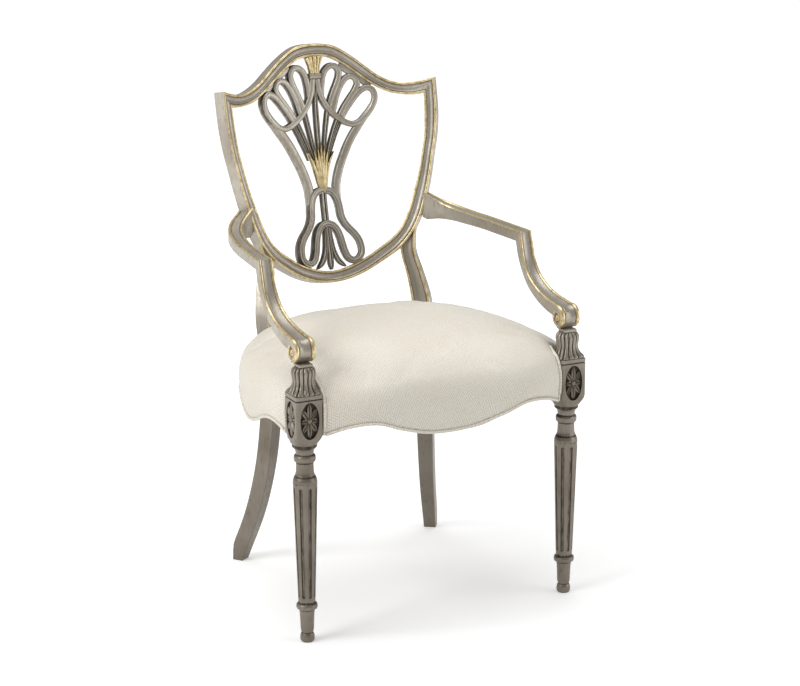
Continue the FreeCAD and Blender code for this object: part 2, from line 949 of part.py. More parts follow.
def block_screw(front, grow):
    """Screw through a glue block into the leg or the post behind it, at the right side."""
    z = rail_top_height - 4 - glue_block_height / 2
    if front:
        run = level_vector(1, -1)
        face = Vector(leg_x - half_block + 3, half_block - 3, z)
        return screw(face - run * front_screw_reach, run, screw_length, grow)
    _, x, y = post_path[6]
    run = Vector(math.sin(math.radians(post_turn)), math.cos(math.radians(post_turn)), 0)
    return screw(Vector(x, y, z) - run * rear_screw_reach, run, screw_length, grow)


def strap(position, lengthwise):
    """One webbing strap across the top of the rails."""
    half = strap_width / 2
    if lengthwise:
        z = rail_top_height + strap_thickness
        return box(position - half, position + half, -200, 500, z, z + strap_thickness)
    z = rail_top_height
    return box(-400, 400, position - half, position + half, z, z + strap_thickness)


def dowel(middle, axis, radius, length, grow):
    """Fluted dowel centred on a joint."""
    reach = length + 2 * grow
    return rod(radius + grow, reach, middle - axis * (reach / 2), axis, 12)


def frame_joint(pair):
    """Centre and direction of the glued joint at a pair of outline points, right side."""
    (xo, ro), (xi, ri) = pair
    outer = back_point(xo, ro)
    inner = back_point(xi, ri)
    normal = back_normal((xo + xi) / 2, (ro + ri) / 2)
    centre = (outer + inner) * 0.5 - normal * (frame_depth / 2)
    axis = (inner - outer).cross(normal)
    axis.normalize()
    return centre, axis


def arm_dowel(grow):
    """Dowel from the scroll down into the leg."""
    middle = Vector(leg_x, scroll_setback * 0.6, abacus_top)
    return dowel(middle, Vector(0, 0, 1), dowel_radius, dowel_length, grow)


def knuckle_dowel(grow):
    """Dowel across the mitre of arm and support."""
    (y0, z0), (y1, z1) = knuckle()
    middle = Vector(leg_x, (y0 + y1) / 2, (z0 + z1) / 2)
    axis = Vector(0, z0 - z1, y1 - y0)
    axis.normalize()
    return dowel(middle, axis, knuckle_dowel_radius, knuckle_dowel_length, grow)


def arm_screw(grow):
    """Screw from the back of the shield into the root of the right arm."""
    last, deep = arm_stations()[-1]
    before = arm_stations()[-2][0]
    run = level_vector(before.x - last.x, before.y - last.y)
    centre = last + Vector(0, 0, -deep / 2)
    return screw(centre - run * arm_screw_setback, run, arm_screw_length, grow)


def back_pieces():
    """Shield frame, splat and the dowels that join them."""
    joints = [frame_joint(stile_outline[0]), frame_joint(stile_outline[-1])]
    pegs = [dowel(centre, axis, dowel_radius, dowel_length, 0) for centre, axis in joints]
    holes = [dowel(centre, axis, dowel_radius, dowel_length, fit_gap) for centre, axis in joints]
    both_sides = holes + [mirrored(hole) for hole in holes]
    crest = crest_rail()
    bottom = lower_rail()
    panel = largest(splat().cut([crest, bottom])).fuse(splat_tenons(0))
    return {
        "crest_rail": crest.cut(splat_tenons(fit_gap) + both_sides),
        "shield_lower_rail": bottom.cut(splat_tenons(fit_gap) + both_sides),
        "splat": panel,
        "shield_dowels": Part.makeCompound(pegs + [mirrored(peg) for peg in pegs]),
    }, holes


def seat_pieces():
    """Upholstery, webbing and the cloth under the seat."""
    low = apron_drop_height - 20
    room = core(stuffing_side, low - 10)
    clear = [leg_clearance(fit_gap), both_posts(soft_gap)]
    cover = dome(0).cut([room, below_apron(welt_height)] + clear)
    welt = dome(welt_stand).cut([room, below_apron(0)] + clear)
    welt = welt.common(below_apron(welt_height))

    foam_base = rail_top_height + 2 * strap_thickness
    foam = core(stuffing_side + soft_gap, foam_base)
    foam = foam.cut([leg_clearance(soft_gap), both_posts(soft_gap)])

    under_straps = rail_top_height - rail_width
    inside = Part.Face(seat_wire(1.0, under_straps, stuffing_side + 3)).extrude(Vector(0, 0, 2 * rail_width))
    inside = inside.cut([leg_clearance(2), both_posts(2)])
    middle = strap_middle
    across = [strap(middle + (step - 1) * strap_spacing, False) for step in range(strap_count)]
    along = [strap((step - 1) * strap_spacing, True) for step in range(strap_count)]
    webbing = Part.makeCompound([band.common(inside) for band in across + along])

    sheet_low = rail_top_height - 4 - glue_block_height - dust_cover_thickness
    half = [Vector(x, y, sheet_low) for x, y in dust_cover_corners]
    sheet = Part.Face(polygon(half + [Vector(-p.x, p.y, p.z) for p in reversed(half)]))
    sheet = sheet.extrude(Vector(0, 0, dust_cover_thickness))
    return {
        "seat_cover": cover,
        "seat_welt": welt,
        "seat_foam": foam,
        "seat_webbing": webbing,
        "dust_cover": sheet,
    }


def rail_pieces():
    """Seat rails and glue blocks, those at the sides for the right side only."""
    ring = seat_ring(stuffing_side + soft_gap, 0)
    ring = ring.cut([below_apron(0), box(-400, 400, -200, 500, rail_top_height, over_seat)])
    front, side, rear = split_rails(ring)
    front = front.fuse([front_tenon(0), mirrored(front_tenon(0))])
    side = side.fuse([side_tenon(0), post_tenon(True, 0)])
    rear = rear.fuse([post_tenon(False, 0), mirrored(post_tenon(False, 0))])

    ring_room = seat_ring(stuffing_side + soft_gap, fit_gap)
    reach = half_block + fit_gap
    leg_room = box(leg_x - reach, 400, -100, reach, under_seat, over_seat)
    post_room = post_blank(post_path[3:9], fit_gap)
    front_block = corner_block(True).cut([ring_room, leg_room, block_screw(True, fit_gap)])
    rear_block = corner_block(False).cut([ring_room, post_room, block_screw(False, fit_gap)])
    fixed = {"front_rail": front, "rear_rail": rear}
    paired = {
        "side_rail": side,
        "front_corner_block": largest(front_block),
        "rear_corner_block": largest(rear_block),
    }
    return fixed, paired


def build():
    """All pieces of the chair, by name."""
    pieces, shield_holes = back_pieces()
    pieces.update(seat_pieces())
    rails, paired = rail_pieces()
    pieces.update(rails)
    post = back_post()
    leg_cuts = [front_tenon(fit_gap), side_tenon(fit_gap), block_screw(True, fit_gap), arm_dowel(fit_gap)]
    post_cuts = shield_holes + [block_screw(False, fit_gap), arm_screw(fit_gap)]
    post_cuts += [post_tenon(True, fit_gap), post_tenon(False, fit_gap)]
    paired["front_leg"] = front_leg().cut(leg_cuts)
    paired["back_post"] = post.cut(post_cuts)
    paired["arm"] = arm().cut([post, knuckle_dowel(fit_gap), arm_screw(fit_gap)])
    paired["arm_support"] = arm_support().cut([arm_dowel(fit_gap), knuckle_dowel(fit_gap)])
    for name, shape in paired.items():
        pieces[name + "_right"] = shape
        pieces[name + "_left"] = mirrored(shape)
    fastenings = {
        "corner_block_screws": [block_screw(True, 0), block_screw(False, 0)],
        "arm_screws": [arm_screw(0)],
        "arm_dowels": [arm_dowel(0), knuckle_dowel(0)],
    }
    for name, shapes in fastenings.items():
        pieces[name] = Part.makeCompound(shapes + [mirrored(shape) for shape in shapes])
    return pieces


def save(pieces):
    """Write every piece in the centred frame."""
    whole = Part.makeCompound(list(pieces.values())).optimalBoundingBox(False)
    shift = Vector(0, -(whole.YMin + whole.YMax) / 2, 0)
    for name, shape in pieces.items():
        placed = shape.copy()
        placed.translate(shift)
        placed.exportStep("parts/" + name + ".step")
    print("moved by", round(shift.y, 3), "size", round(whole.XLength, 1), round(whole.YLength, 1))


save(build())
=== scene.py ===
import bpy
import bmesh
import json
import math
from mathutils import Matrix, Vector


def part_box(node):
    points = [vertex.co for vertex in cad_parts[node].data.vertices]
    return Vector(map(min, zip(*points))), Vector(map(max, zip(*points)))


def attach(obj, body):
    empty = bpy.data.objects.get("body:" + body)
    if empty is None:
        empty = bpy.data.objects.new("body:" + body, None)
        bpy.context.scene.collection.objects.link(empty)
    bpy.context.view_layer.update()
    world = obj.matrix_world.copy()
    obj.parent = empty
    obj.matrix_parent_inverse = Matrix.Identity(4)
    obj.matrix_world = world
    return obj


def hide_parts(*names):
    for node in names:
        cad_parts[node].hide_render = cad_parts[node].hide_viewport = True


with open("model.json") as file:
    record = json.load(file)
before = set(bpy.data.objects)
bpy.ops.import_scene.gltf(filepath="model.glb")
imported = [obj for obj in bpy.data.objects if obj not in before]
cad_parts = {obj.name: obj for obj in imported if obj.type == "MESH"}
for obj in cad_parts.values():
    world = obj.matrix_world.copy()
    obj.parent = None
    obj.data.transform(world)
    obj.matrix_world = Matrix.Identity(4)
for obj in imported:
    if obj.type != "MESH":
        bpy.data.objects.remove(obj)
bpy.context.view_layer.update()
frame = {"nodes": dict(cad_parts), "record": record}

# Sizes are millimetres on the chair: x to the right, y back from the line of the
# front legs, z up. place() turns them into metres in the frame of the solids.
MM = 0.001
leg_low, leg_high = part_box("front_leg_right")
leg_line = (leg_low[1] + leg_high[1]) / 2
leg_x = (leg_low[0] + leg_high[0]) / 2 / MM

# Back of the chair
shield_base = 533.0
shield_setback = 439.6
shield_lean = 0.298
shield_straighten = 2.47e-4
sweep_radius_low = 226.0
sweep_radius_gain = 0.342
frame_depth = 23.0
# A profile keeps this much of its depth; what lies deeper stretches with the member.
face_depth = 3.5
station_step = 7.0
strap_step = 3.0
crest_outline = [
    (0, 985, 0, 962), (40, 980.5, 34, 956.5), (72, 962, 57.5, 944), (100, 940, 86, 923),
    (125, 920.5, 113, 903), (150, 909, 142, 887.5), (173, 906, 172, 883), (195, 910, 187, 884),
    (219, 918, 199.5, 887),
]
stile_outline = [
    (219, 918, 199.5, 887), (218.7, 895, 199.4, 877), (217.5, 855, 197.8, 847), (212, 811, 193.5, 805),
    (204, 773, 185.5, 767), (195, 731, 176.5, 731), (185, 693, 165.5, 697), (171.5, 653, 153.5, 663),
    (154, 620, 136.5, 630), (129, 590, 115, 607), (107, 573, 94, 591.5),
]
lower_outline = [
    (107, 573, 94, 591.5), (85, 558.5, 75, 579), (60, 545.5, 53, 568), (30, 536, 27, 558.5),
    (0, 533, 0, 555),
]
post_turn = math.radians(36)
post_path = [
    (0, 203.0, 431.0, 24.0, 34.0), (20, 198.2, 424.2, 25.0, 33.6), (100, 179.4, 398.1, 28.0, 32.0),
    (200, 164.5, 376.7, 30.5, 30.5), (300, 156.7, 366.4, 32.5, 29.6), (385, 152.9, 365.1, 34.5, 29.0),
    (440, 154.2, 370.8, 36.0, 29.0), (490, 156.3, 378.6, 37.0, 29.0), (540, 152.1, 396.2, 32.0, 25.0),
    (590, 145.5, 414.0, 28.5, 21.0), (632, 152.5, 422.5, 28.0, 18.0),
]
# The plain leg and the moulded upright overlap behind the cover.
leg_top, upright_foot = 462, 436
heel_height = 34.0
heel_cut = 13.0

# Arms
arm_width = 27.0
arm_thickness = 20.5
arm_root_x = 194.0
arm_root_growth = 28.5
support_width = 26.8
scroll_width = 38.5
knuckle_front = (157.5, 661.0)
knuckle_rear = (171.0, 640.5)
scroll_y = 8.3
scroll_z = 531.0
scroll_radius = 22.0
scroll_band = 12.0
scroll_start, scroll_sweep = 75, 190
scroll_cheek = scroll_width / 2 - 1.6

# Seat
seat_crown = 519.0
cover_crown = seat_crown - 3.0  # before the stuffing fills it
crown_power, crown_root = 3.33, 0.389
seat_edge = 417.0
seat_middle = 229.0
hem_share, hem_fall = 0.978, 57.0
hollow_top = 443.2
hollow_share = 0.985
hem_gap = 0.6
cover_thickness = 12.5
welt_radius = 2.6
welt_top = 463.0
# The rear posts stand between these distances from the middle, behind this line.
post_inside, post_outside, post_line = 136, 172, 300
# Heights of the stuffing: the cover is held up to the first, and looser from the second over a span.
held_to, loose_from, loose_span = 446.0, 428.0, 40.0
seat_outline = [
    (0, -50), (70, -53), (140, -57), (195, -43), (240, -22), (272, -2), (289, 28), (297, 95),
    (295, 165), (285, 230), (264, 293), (228, 350), (178, 392), (100, 408), (0, 409),
]
front_wave = [(0, 362), (50, 366), (100, 380), (150, 397), (200, 392.6), (237.6, 379)]
side_wave = [(26, 379), (42, 389), (68, 394), (105, 388), (138, 374), (190, 362)]

# The side wave is the same on both sides of its middle and ends at the rear corner.
wave_middle, wave_end, rear_low = 190, 354, 380.0

# Front legs
half_block = 25.4
oval_centre, oval_half_width, oval_half_height = 412.0, 17.8, 33.0
petal_ground = 4.3
shaft_heights, shaft_radii = (76.0, 296.0), (15.2, 21.7)
flute_start, flute_end = 84.0, 289.0
flute_count = 8
flute_width = 5.6
flute_depth = 2.4


def place(x, y, z):
    """Point of the frame, in metres."""
    return Vector((x * MM, y * MM + leg_line, z * MM))


def measured(point):
    """Millimetres on the chair of a point in metres."""
    return point.x / MM, (point.y - leg_line) / MM, point.z / MM


def blend(a, b, share):
    """Value between two others."""
    return a + (b - a) * share


def through(knots, step, closed=False):
    """Smooth run of tuples through the knots, about one step apart."""
    points = [Vector(knot) for knot in knots]
    count = len(points)
    spans = count if closed else count - 1
    lengths = [max((points[(i + 1) % count] - points[i]).length, 1e-6) for i in range(spans)]

    def slope(i):
        if not closed and i in (0, count - 1):
            j = 0 if i == 0 else count - 2
            return (points[j + 1] - points[j]) / lengths[j]
        before, after = lengths[i - 1], lengths[i % spans]
        back = (points[i] - points[i - 1]) / before
        ahead = (points[(i + 1) % count] - points[i]) / after
        return (back * after + ahead * before) / (before + after)

    run = []
    for i in range(spans):
        start, end, length = points[i], points[(i + 1) % count], lengths[i]
        go, arrive = slope(i) * length, slope((i + 1) % count if closed else i + 1) * length
        parts = max(1, round(length / step))
        for k in range(parts):
            t = k / parts
            run.append(
                start * (2 * t**3 - 3 * t**2 + 1)
                + go * (t**3 - 2 * t**2 + t)
                + end * (3 * t**2 - 2 * t**3)
                + arrive * (t**3 - t**2)
            )
    if not closed:
        run.append(points[-1])
    return run


def mirrored_outline(rows):
    """Both halves of an outline whose first or last row is on the centre line."""
    flip = [tuple(-v if i % 2 == 0 else v for i, v in enumerate(row)) for row in rows]
    if abs(rows[0][0]) < 1e-6:
        return list(reversed(flip[1:])) + list(rows)
    return list(rows) + list(reversed(flip[:-1]))


# Finishes


class Finish:
    """Node material under construction."""

    def __init__(self, name):
        self.material = bpy.data.materials.new(name)
        self.material.use_nodes = True
        self.tree = self.material.node_tree
        self.tree.nodes.clear()
        self.shader = self.node("ShaderNodeBsdfPrincipled")
        output = self.node("ShaderNodeOutputMaterial")
        self.join(self.shader.outputs[0], output.inputs["Surface"])
        self.coordinates = self.node("ShaderNodeTexCoord").outputs["Object"]

    def node(self, kind, **settings):
        made = self.tree.nodes.new(kind)
        for key, value in settings.items():
            setattr(made, key, value)
        return made

    def join(self, source, target):
        self.tree.links.new(source, target)

    def feed(self, socket, value):
        if isinstance(value, bpy.types.NodeSocket):
            self.join(value, socket)
        else:
            socket.default_value = value

    def texture(self, kind, source, inputs, **settings):
        """Node fed with coordinates, and its own numbers."""
        made = self.node(kind, **settings)
        self.feed(made.inputs["Vector"], source)
        for name, value in inputs.items():
            made.inputs[name].default_value = value
        return made

    def stretch(self, source, scale, turn=(0, 0, 0)):
        """Coordinates scaled along each axis."""
        return self.texture("ShaderNodeMapping", source, {"Scale": scale, "Rotation": turn}).outputs[0]

    def noise(self, source, scale, detail=3.0, roughness=0.55):
        inputs = {"Scale": scale, "Detail": detail, "Roughness": roughness}
        return self.texture("ShaderNodeTexNoise", source, inputs).outputs["Fac"]

    def bands(self, source, axis, scale, distortion, fine):
        """Stripes across one axis."""
        inputs = {"Scale": scale, "Distortion": distortion, "Detail": 2.0, "Detail Scale": fine}
        kind = "ShaderNodeTexWave"
        return self.texture(kind, source, inputs, wave_type="BANDS", bands_direction=axis).outputs["Fac"]

    def math(self, operation, a, b=0.0, clamp=False):
        made = self.node("ShaderNodeMath", operation=operation, use_clamp=clamp)
        self.feed(made.inputs[0], a)
        self.feed(made.inputs[1], b)
        return made.outputs[0]

    def span(self, value, low, high, to_low, to_high):
        """Value moved smoothly from one range to another."""
        made = self.node("ShaderNodeMapRange", interpolation_type="SMOOTHSTEP")
        for socket, number in zip(made.inputs, (value, low, high, to_low, to_high)):
            self.feed(socket, number)
        return made.outputs[0]

    def mix(self, share, a, b, way="MIX"):
        made = self.node("ShaderNodeMix", data_type="RGBA", blend_type=way)
        self.feed(made.inputs[0], share)
        self.feed(made.inputs[6], a)
        self.feed(made.inputs[7], b)
        return made.outputs[2]

    def shade(self, value, low, high, share, a, b):
        """Colour b over a, up to a share as the value goes from low to high."""
        return self.mix(self.span(value, low, high, 0.0, share), a, b)

    def attribute(self, name):
        return self.node("ShaderNodeAttribute", attribute_name=name).outputs["Fac"]

    def bump(self, height, distance, strength=1.0, under=None):
        made = self.node("ShaderNodeBump")
        made.inputs["Strength"].default_value = strength
        made.inputs["Distance"].default_value = distance
        self.feed(made.inputs["Height"], height)
        if under is not None:
            self.join(under, made.inputs["Normal"])
        return made.outputs[0]

    def finish(self, colour, roughness, normal=None, **fixed):
        """Sets the shader's own sockets and returns the material."""
        self.feed(self.shader.inputs["Base Color"], colour)
        self.feed(self.shader.inputs["Roughness"], roughness)
        if normal is not None:
            self.join(normal, self.shader.inputs["Normal"])
        for key, value in fixed.items():
            self.shader.inputs[key.replace("_", " ").title()].default_value = value
        return self.material


def rgb(red, green, blue):
    """Linear colour."""
    return (red, green, blue, 1.0)


def pearl_paint(name, light, deep, glaze_and_shade_colour, painted_low_shade):
    """Pearly paint under a dark antique glazing that is left in the hollows, where the same darkening also
    serves as painted shade, and painted shade that darkens the legs low down.
    """
    f = Finish(name)
    cloud = f.noise(f.coordinates, 11.0, 4.0)
    streak = f.noise(f.stretch(f.coordinates, (1.0, 1.0, 0.22)), 240.0, 3.0, 0.6)
    mica = f.noise(f.coordinates, 1900.0, 2.0)
    tone = f.shade(cloud, 0.35, 0.68, 1.0, light, deep)
    tone = f.shade(streak, 0.56, 0.74, 0.24, tone, glaze_and_shade_colour)
    # The point values darken the paint: partly antique glazing, partly painted shade in hollows, grooves and
    # on side walls.
    wear_glaze_and_shade = f.math("ADD", f.attribute("glaze_and_shade"), f.span(streak, 0.3, 0.7, -0.13, 0.13), True)
    held = f.span(wear_glaze_and_shade, 0.18, 0.92, 0.0, 0.93)
    tone = f.mix(held, tone, glaze_and_shade_colour)
    apart = f.node("ShaderNodeSeparateXYZ")
    f.join(f.coordinates, apart.inputs[0])
    # Painted shade: the paint is multiplied darker towards the floor, fully below 0.40 m and fading out by
    # 0.56 m.
    low_shade_share = f.span(apart.outputs["Z"], 0.40, 0.56, 0.88, 0.0)
    tone = f.mix(low_shade_share, tone, f.mix(1.0, tone, painted_low_shade, "MULTIPLY"))
    rough = f.math("ADD", f.span(streak, 0.3, 0.75, 0.34, 0.5), f.math("MULTIPLY", held, 0.2))
    grain = f.bump(streak, 0.00012, 0.5)
    fleck = f.bump(mica, 0.00004, 0.35, grain)
    return f.finish(tone, rough, fleck, metallic=0.6, coat_weight=0.1, coat_roughness=0.3)


def gilding():
    """Champagne gilding, rubbed thin on the high places, and darkened nearly to black in the hollows as
    antique glazing and painted shade.
    """
    f = Finish("champagne_gilding")
    patch = f.noise(f.coordinates, 95.0, 4.0, 0.62)
    fine = f.noise(f.coordinates, 900.0, 3.0)
    tone = f.shade(patch, 0.4, 0.72, 1.0, rgb(0.76, 0.63, 0.37), rgb(0.46, 0.34, 0.155))
    # The point values darken the gilding: partly antique glazing, partly painted shade on the bead flanks and
    # the inner turns of the volutes.
    wear_glaze_and_shade = f.math("ADD", f.attribute("glaze_and_shade"), f.span(patch, 0.3, 0.7, -0.14, 0.14), True)
    tone = f.shade(wear_glaze_and_shade, 0.2, 0.95, 0.9, tone, rgb(0.05, 0.033, 0.018))
    rough = f.span(patch, 0.3, 0.75, 0.27, 0.46)
    return f.finish(tone, rough, f.bump(fine, 0.00008, 0.5), metallic=0.75)


def seat_weave():
    """Ivory cloth with a diagonal cross hatch and a satin face, darkened along the lower edge of the cover as
    painted shade.
    """
    f = Finish("ivory_cross_weave")
    flat = f.node("ShaderNodeUVMap", uv_map="cloth").outputs[0]
    turned_flat = [f.stretch(flat, (1, 1, 1), (0, 0, math.radians(turn))) for turn in (45, -45)]
    threads = [f.bands(source, "X", 74.0, 1.7, 6.0) for source in turned_flat]
    patch = f.span(f.noise(flat, 95.0, 2.0), 0.42, 0.58, 0.0, 1.0)
    weft = f.math("MULTIPLY", threads[1], f.math("SUBTRACT", 1.0, patch))
    twill = f.math("ADD", f.math("MULTIPLY", threads[0], patch), weft)
    crossed = f.math("MULTIPLY", f.math("MINIMUM", *threads), 0.4)
    weave = f.math("ADD", f.math("MULTIPLY", twill, 0.6), crossed)
    slub = f.noise(f.stretch(flat, (1.0, 6.0, 1.0)), 130.0, 3.0)
    cloud = f.noise(f.coordinates, 7.0, 2.0)
    tone = f.shade(cloud, 0.35, 0.7, 1.0, rgb(0.885, 0.85, 0.755), rgb(0.85, 0.805, 0.70))
    tone = f.mix(f.span(weave, 0.08, 0.6, 0.58, 0.0), tone, rgb(0.56, 0.49, 0.385))
    tone = f.shade(slub, 0.55, 0.75, 0.2, tone, rgb(0.68, 0.62, 0.51))
    # Painted shade: the point values set along the cover's lower edge darken the cloth to a dark brown.
    tone = f.mix(f.math("MULTIPLY", f.attribute("glaze_and_shade"), 0.85), tone, rgb(0.16, 0.125, 0.085))
    yarn = f.bump(weave, 0.0003, 0.9)
    relief = f.bump(slub, 0.0002, 0.5, yarn)
    rough = f.span(weave, 0.1, 0.9, 0.62, 0.44)
    return f.finish(tone, rough, relief, sheen_weight=0.35, sheen_roughness=0.4)


def beech():
    """Planed beech with its short flecks."""
    f = Finish("planed_beech")
    grain = f.noise(f.stretch(f.coordinates, (0.16, 1.0, 1.0)), 330.0, 4.0)
    fleck = f.noise(f.stretch(f.coordinates, (0.3, 1.0, 2.2)), 900.0, 2.0)
    tone = f.shade(grain, 0.3, 0.7, 1.0, rgb(0.60, 0.41, 0.23), rgb(0.47, 0.29, 0.14))
    tone = f.shade(fleck, 0.6, 0.75, 0.4, tone, rgb(0.3, 0.17, 0.08))
    return f.finish(tone, f.span(grain, 0.3, 0.7, 0.5, 0.65), f.bump(grain, 0.0001, 0.5))


def zinc_steel():
    """Zinc plated screws."""
    f = Finish("zinc_plate")
    patch = f.noise(f.coordinates, 600.0, 3.0)
    tone = f.shade(patch, 0.3, 0.7, 1.0, rgb(0.55, 0.55, 0.54), rgb(0.36, 0.36, 0.36))
    return f.finish(tone, f.span(patch, 0.3, 0.7, 0.28, 0.42), f.bump(patch, 0.00004, 0.4), metallic=1.0)


def jute_webbing():
    """Plain woven jute straps."""
    f = Finish("jute_webbing")
    yarn = f.math("MULTIPLY", *[f.bands(f.coordinates, axis, 150.0, 0.6, 1.0) for axis in "XY"])
    hair = f.noise(f.coordinates, 700.0, 3.0)
    tone = f.shade(yarn, 0.05, 0.6, 1.0, rgb(0.14, 0.095, 0.05), rgb(0.36, 0.27, 0.15))
    tone = f.shade(hair, 0.5, 0.75, 0.3, tone, rgb(0.45, 0.36, 0.22))
    return f.finish(tone, 0.85, f.bump(yarn, 0.0005, 0.8))


def cut_foam():
    """Open cells of cut seat foam."""
    f = Finish("cut_foam")
    cells = f.noise(f.coordinates, 1500.0, 2.0)
    tone = f.shade(cells, 0.35, 0.65, 1.0, rgb(0.80, 0.74, 0.58), rgb(0.66, 0.58, 0.40))
    return f.finish(tone, 0.9, f.bump(cells, 0.0004, 0.7))


def dust_cloth():
    """Thin black cloth stapled under the seat."""
    f = Finish("dust_cloth")
    fibre = f.noise(f.stretch(f.coordinates, (1.0, 3.0, 1.0)), 520.0, 4.0)
    tone = f.shade(fibre, 0.4, 0.7, 1.0, rgb(0.018, 0.018, 0.018), rgb(0.045, 0.044, 0.042))
    return f.finish(tone, 0.92, f.bump(fibre, 0.0002, 0.6))


paint = pearl_paint(
    "taupe_pearl_paint",
    light=rgb(0.455, 0.42, 0.36),
    deep=rgb(0.35, 0.31, 0.25),
    # Dark colour of the antique glazing and of the painted shade in hollows; the last colour multiplies the
    # lower parts as painted shade.
    glaze_and_shade_colour=rgb(0.035, 0.026, 0.018),
    painted_low_shade=rgb(0.43, 0.40, 0.37),
)
gilt = gilding()
cloth = seat_weave()


# Meshes


def put(name, data):
    """New object in the scene."""
    made = bpy.data.objects.new(name, data)
    bpy.context.scene.collection.objects.link(made)
    return made


def circle(count, offset=0.0):
    """Cosines and sines at even steps of a full turn."""
    angles = [2 * math.pi * (k + offset) / count for k in range(count)]
    return [(math.cos(angle), math.sin(angle)) for angle in angles]


class Piece:
    """One piece of the chair, gathered from skinned rings."""

    def __init__(self, name, slot="painted_frame"):
        self.name = name
        self.slot = slot
        self.points = []
        self.faces = []
        self.looks = []
        self.glaze_and_shade = []
        self.finishes = []

    def look(self, finish):
        if finish not in self.finishes:
            self.finishes.append(finish)
        return self.finishes.index(finish)

    def skin(self, rings, finishes, glaze_and_shade=0.0, by_ring=None, closed=False):
        """Faces through rings of points. There is one finish for all or a list with one for each
        strip, and one value of antique glazing and painted shade for all or a list with one for each point of
        a ring, or by ring."""
        base, size, count = len(self.points), len(rings[0]), len(rings)
        looks = finishes if isinstance(finishes, list) else [finishes] * size
        for number, ring in enumerate(rings):
            tint = by_ring[number] if by_ring else glaze_and_shade
            self.points += ring
            self.glaze_and_shade += tint if isinstance(tint, list) else [tint] * size
        for i in range(count if closed else count - 1):
            a, b = base + i * size, base + (i + 1) % count * size
            for j in range(size):
                k = (j + 1) % size
                self.faces.append((a + j, a + k, b + k, b + j))
                self.looks.append(self.look(looks[j]))
        if not closed:
            for first in (base, base + (count - 1) * size):
                self.faces.append(tuple(range(first, first + size)))
                self.looks.append(self.look(looks[size // 2]))

    def add(self, other):
        """Adds another piece to this one."""
        base = len(self.points)
        self.points += other.points
        self.glaze_and_shade += other.glaze_and_shade
        self.faces += [tuple(base + v for v in face) for face in other.faces]
        self.looks += [self.look(other.finishes[look]) for look in other.looks]

    def take(self, mesh):
        """Adds a finished mesh to the piece."""
        base = len(self.points)
        self.points += [v.co.copy() for v in mesh.vertices]
        self.glaze_and_shade += [spot.value for spot in mesh.attributes["glaze_and_shade"].data]
        for polygon in mesh.polygons:
            self.faces.append(tuple(base + v for v in polygon.vertices))
            self.looks.append(self.look(mesh.materials[polygon.material_index]))

    def mirrored(self, name):
        """The same piece for the other side of the chair."""
        other = Piece(name, self.slot)
        other.points = [Vector((-p.x, p.y, p.z)) for p in self.points]
        other.faces = [tuple(reversed(face)) for face in self.faces]
        other.looks = list(self.looks)
        other.glaze_and_shade = list(self.glaze_and_shade)
        other.finishes = list(self.finishes)
        return other

    def mesh(self, sharp=38.0):
        """Mesh with outward faces and the antique glazing and painted shade values kept on its points."""
        made = bpy.data.meshes.new(self.name)
        made.from_pydata([tuple(p) for p in self.points], [], self.faces)
        for finish in self.finishes:
            made.materials.append(finish)
        made.polygons.foreach_set("material_index", self.looks)
        tint = made.attributes.new("glaze_and_shade", "FLOAT", "POINT")
        tint.data.foreach_set("value", self.glaze_and_shade)
        work = bmesh.new()
        work.from_mesh(made)
        bmesh.ops.remove_doubles(work, verts=work.verts, dist=1e-7)
        bmesh.ops.recalc_face_normals(work, faces=work.faces)
        work.to_mesh(made)
        work.free()
        made.polygons.foreach_set("use_smooth", [True] * len(made.polygons))
        made.set_sharp_from_angle(angle=math.radians(sharp))
        return made

    def stand_for(self, *nodes, sharp=38.0):
        """Puts the piece in the scene in place of the solids it stands for."""
        made = put(self.name, self.mesh(sharp))
        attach(made, "root")
        if nodes:
            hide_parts(*nodes)
        return made


# Shapes of the mouldings, as (share of the width, height over the front, darkening by antique glazing and
# painted shade)


def glaze_and_shade_of(profile):
    """Darkening by antique glazing and painted shade at each point of a profile."""
    return [g for _, _, g in profile]


def both_edges(rows, middle=()):
    """Profile of the rows, what lies between them, and the rows again for the other edge."""
    return rows + list(middle) + [(-u, v, g) for u, v, g in reversed(rows)]


def bead_and_channel(bead, sink, depth):
    """Gilt bead on each edge, a dark line beside it and a hollow channel between; the dark line, the bead's
    flanks and the sides are antique glazing and painted shade.
    """
    quirk = bead + 0.026
    inner = quirk + 0.03
    # The third number of each point darkens it, as antique glazing and painted shade.
    half = [(0.05, -depth, 0.3), (0.0, 1.5 - depth, 0.25), (0.0, -depth * 0.5, 0.12), (0.0, -3.0, 0.3)]
    for step, tint in enumerate((0.4, 0.0, 0.0, 0.0, 0.0, 0.0, 0.62)):
        angle = math.pi * (1 - step / 6)
        height = -2.3 + 2.7 * math.sin(angle) ** 0.8
        half.append((bead * (0.5 + 0.5 * math.cos(angle)), height, tint))
    half.append((quirk, -2.5, 0.45))
    profile = list(half)
    for step in range(9):
        share = step / 8
        hollow = 1 - (2 * share - 1) ** 2
        tint = 0.18 if step in (0, 8) else 0.0
        profile.append((blend(inner, 1 - inner, share), -1.3 - sink * hollow, tint))
    profile += [(1 - u, v, g) for u, v, g in reversed(half)]
    finishes = []
    for (u, _, _), (w, _, _) in zip(profile, profile[1:] + profile[:1]):
        middle = (u + w) / 2
        on_bead = 0.004 < middle < bead - 0.0005 or 1 - bead + 0.0005 < middle < 0.996
        finishes.append(gilt if on_bead else paint)
    finishes[0] = finishes[-1] = finishes[-2] = paint
    return profile, finishes


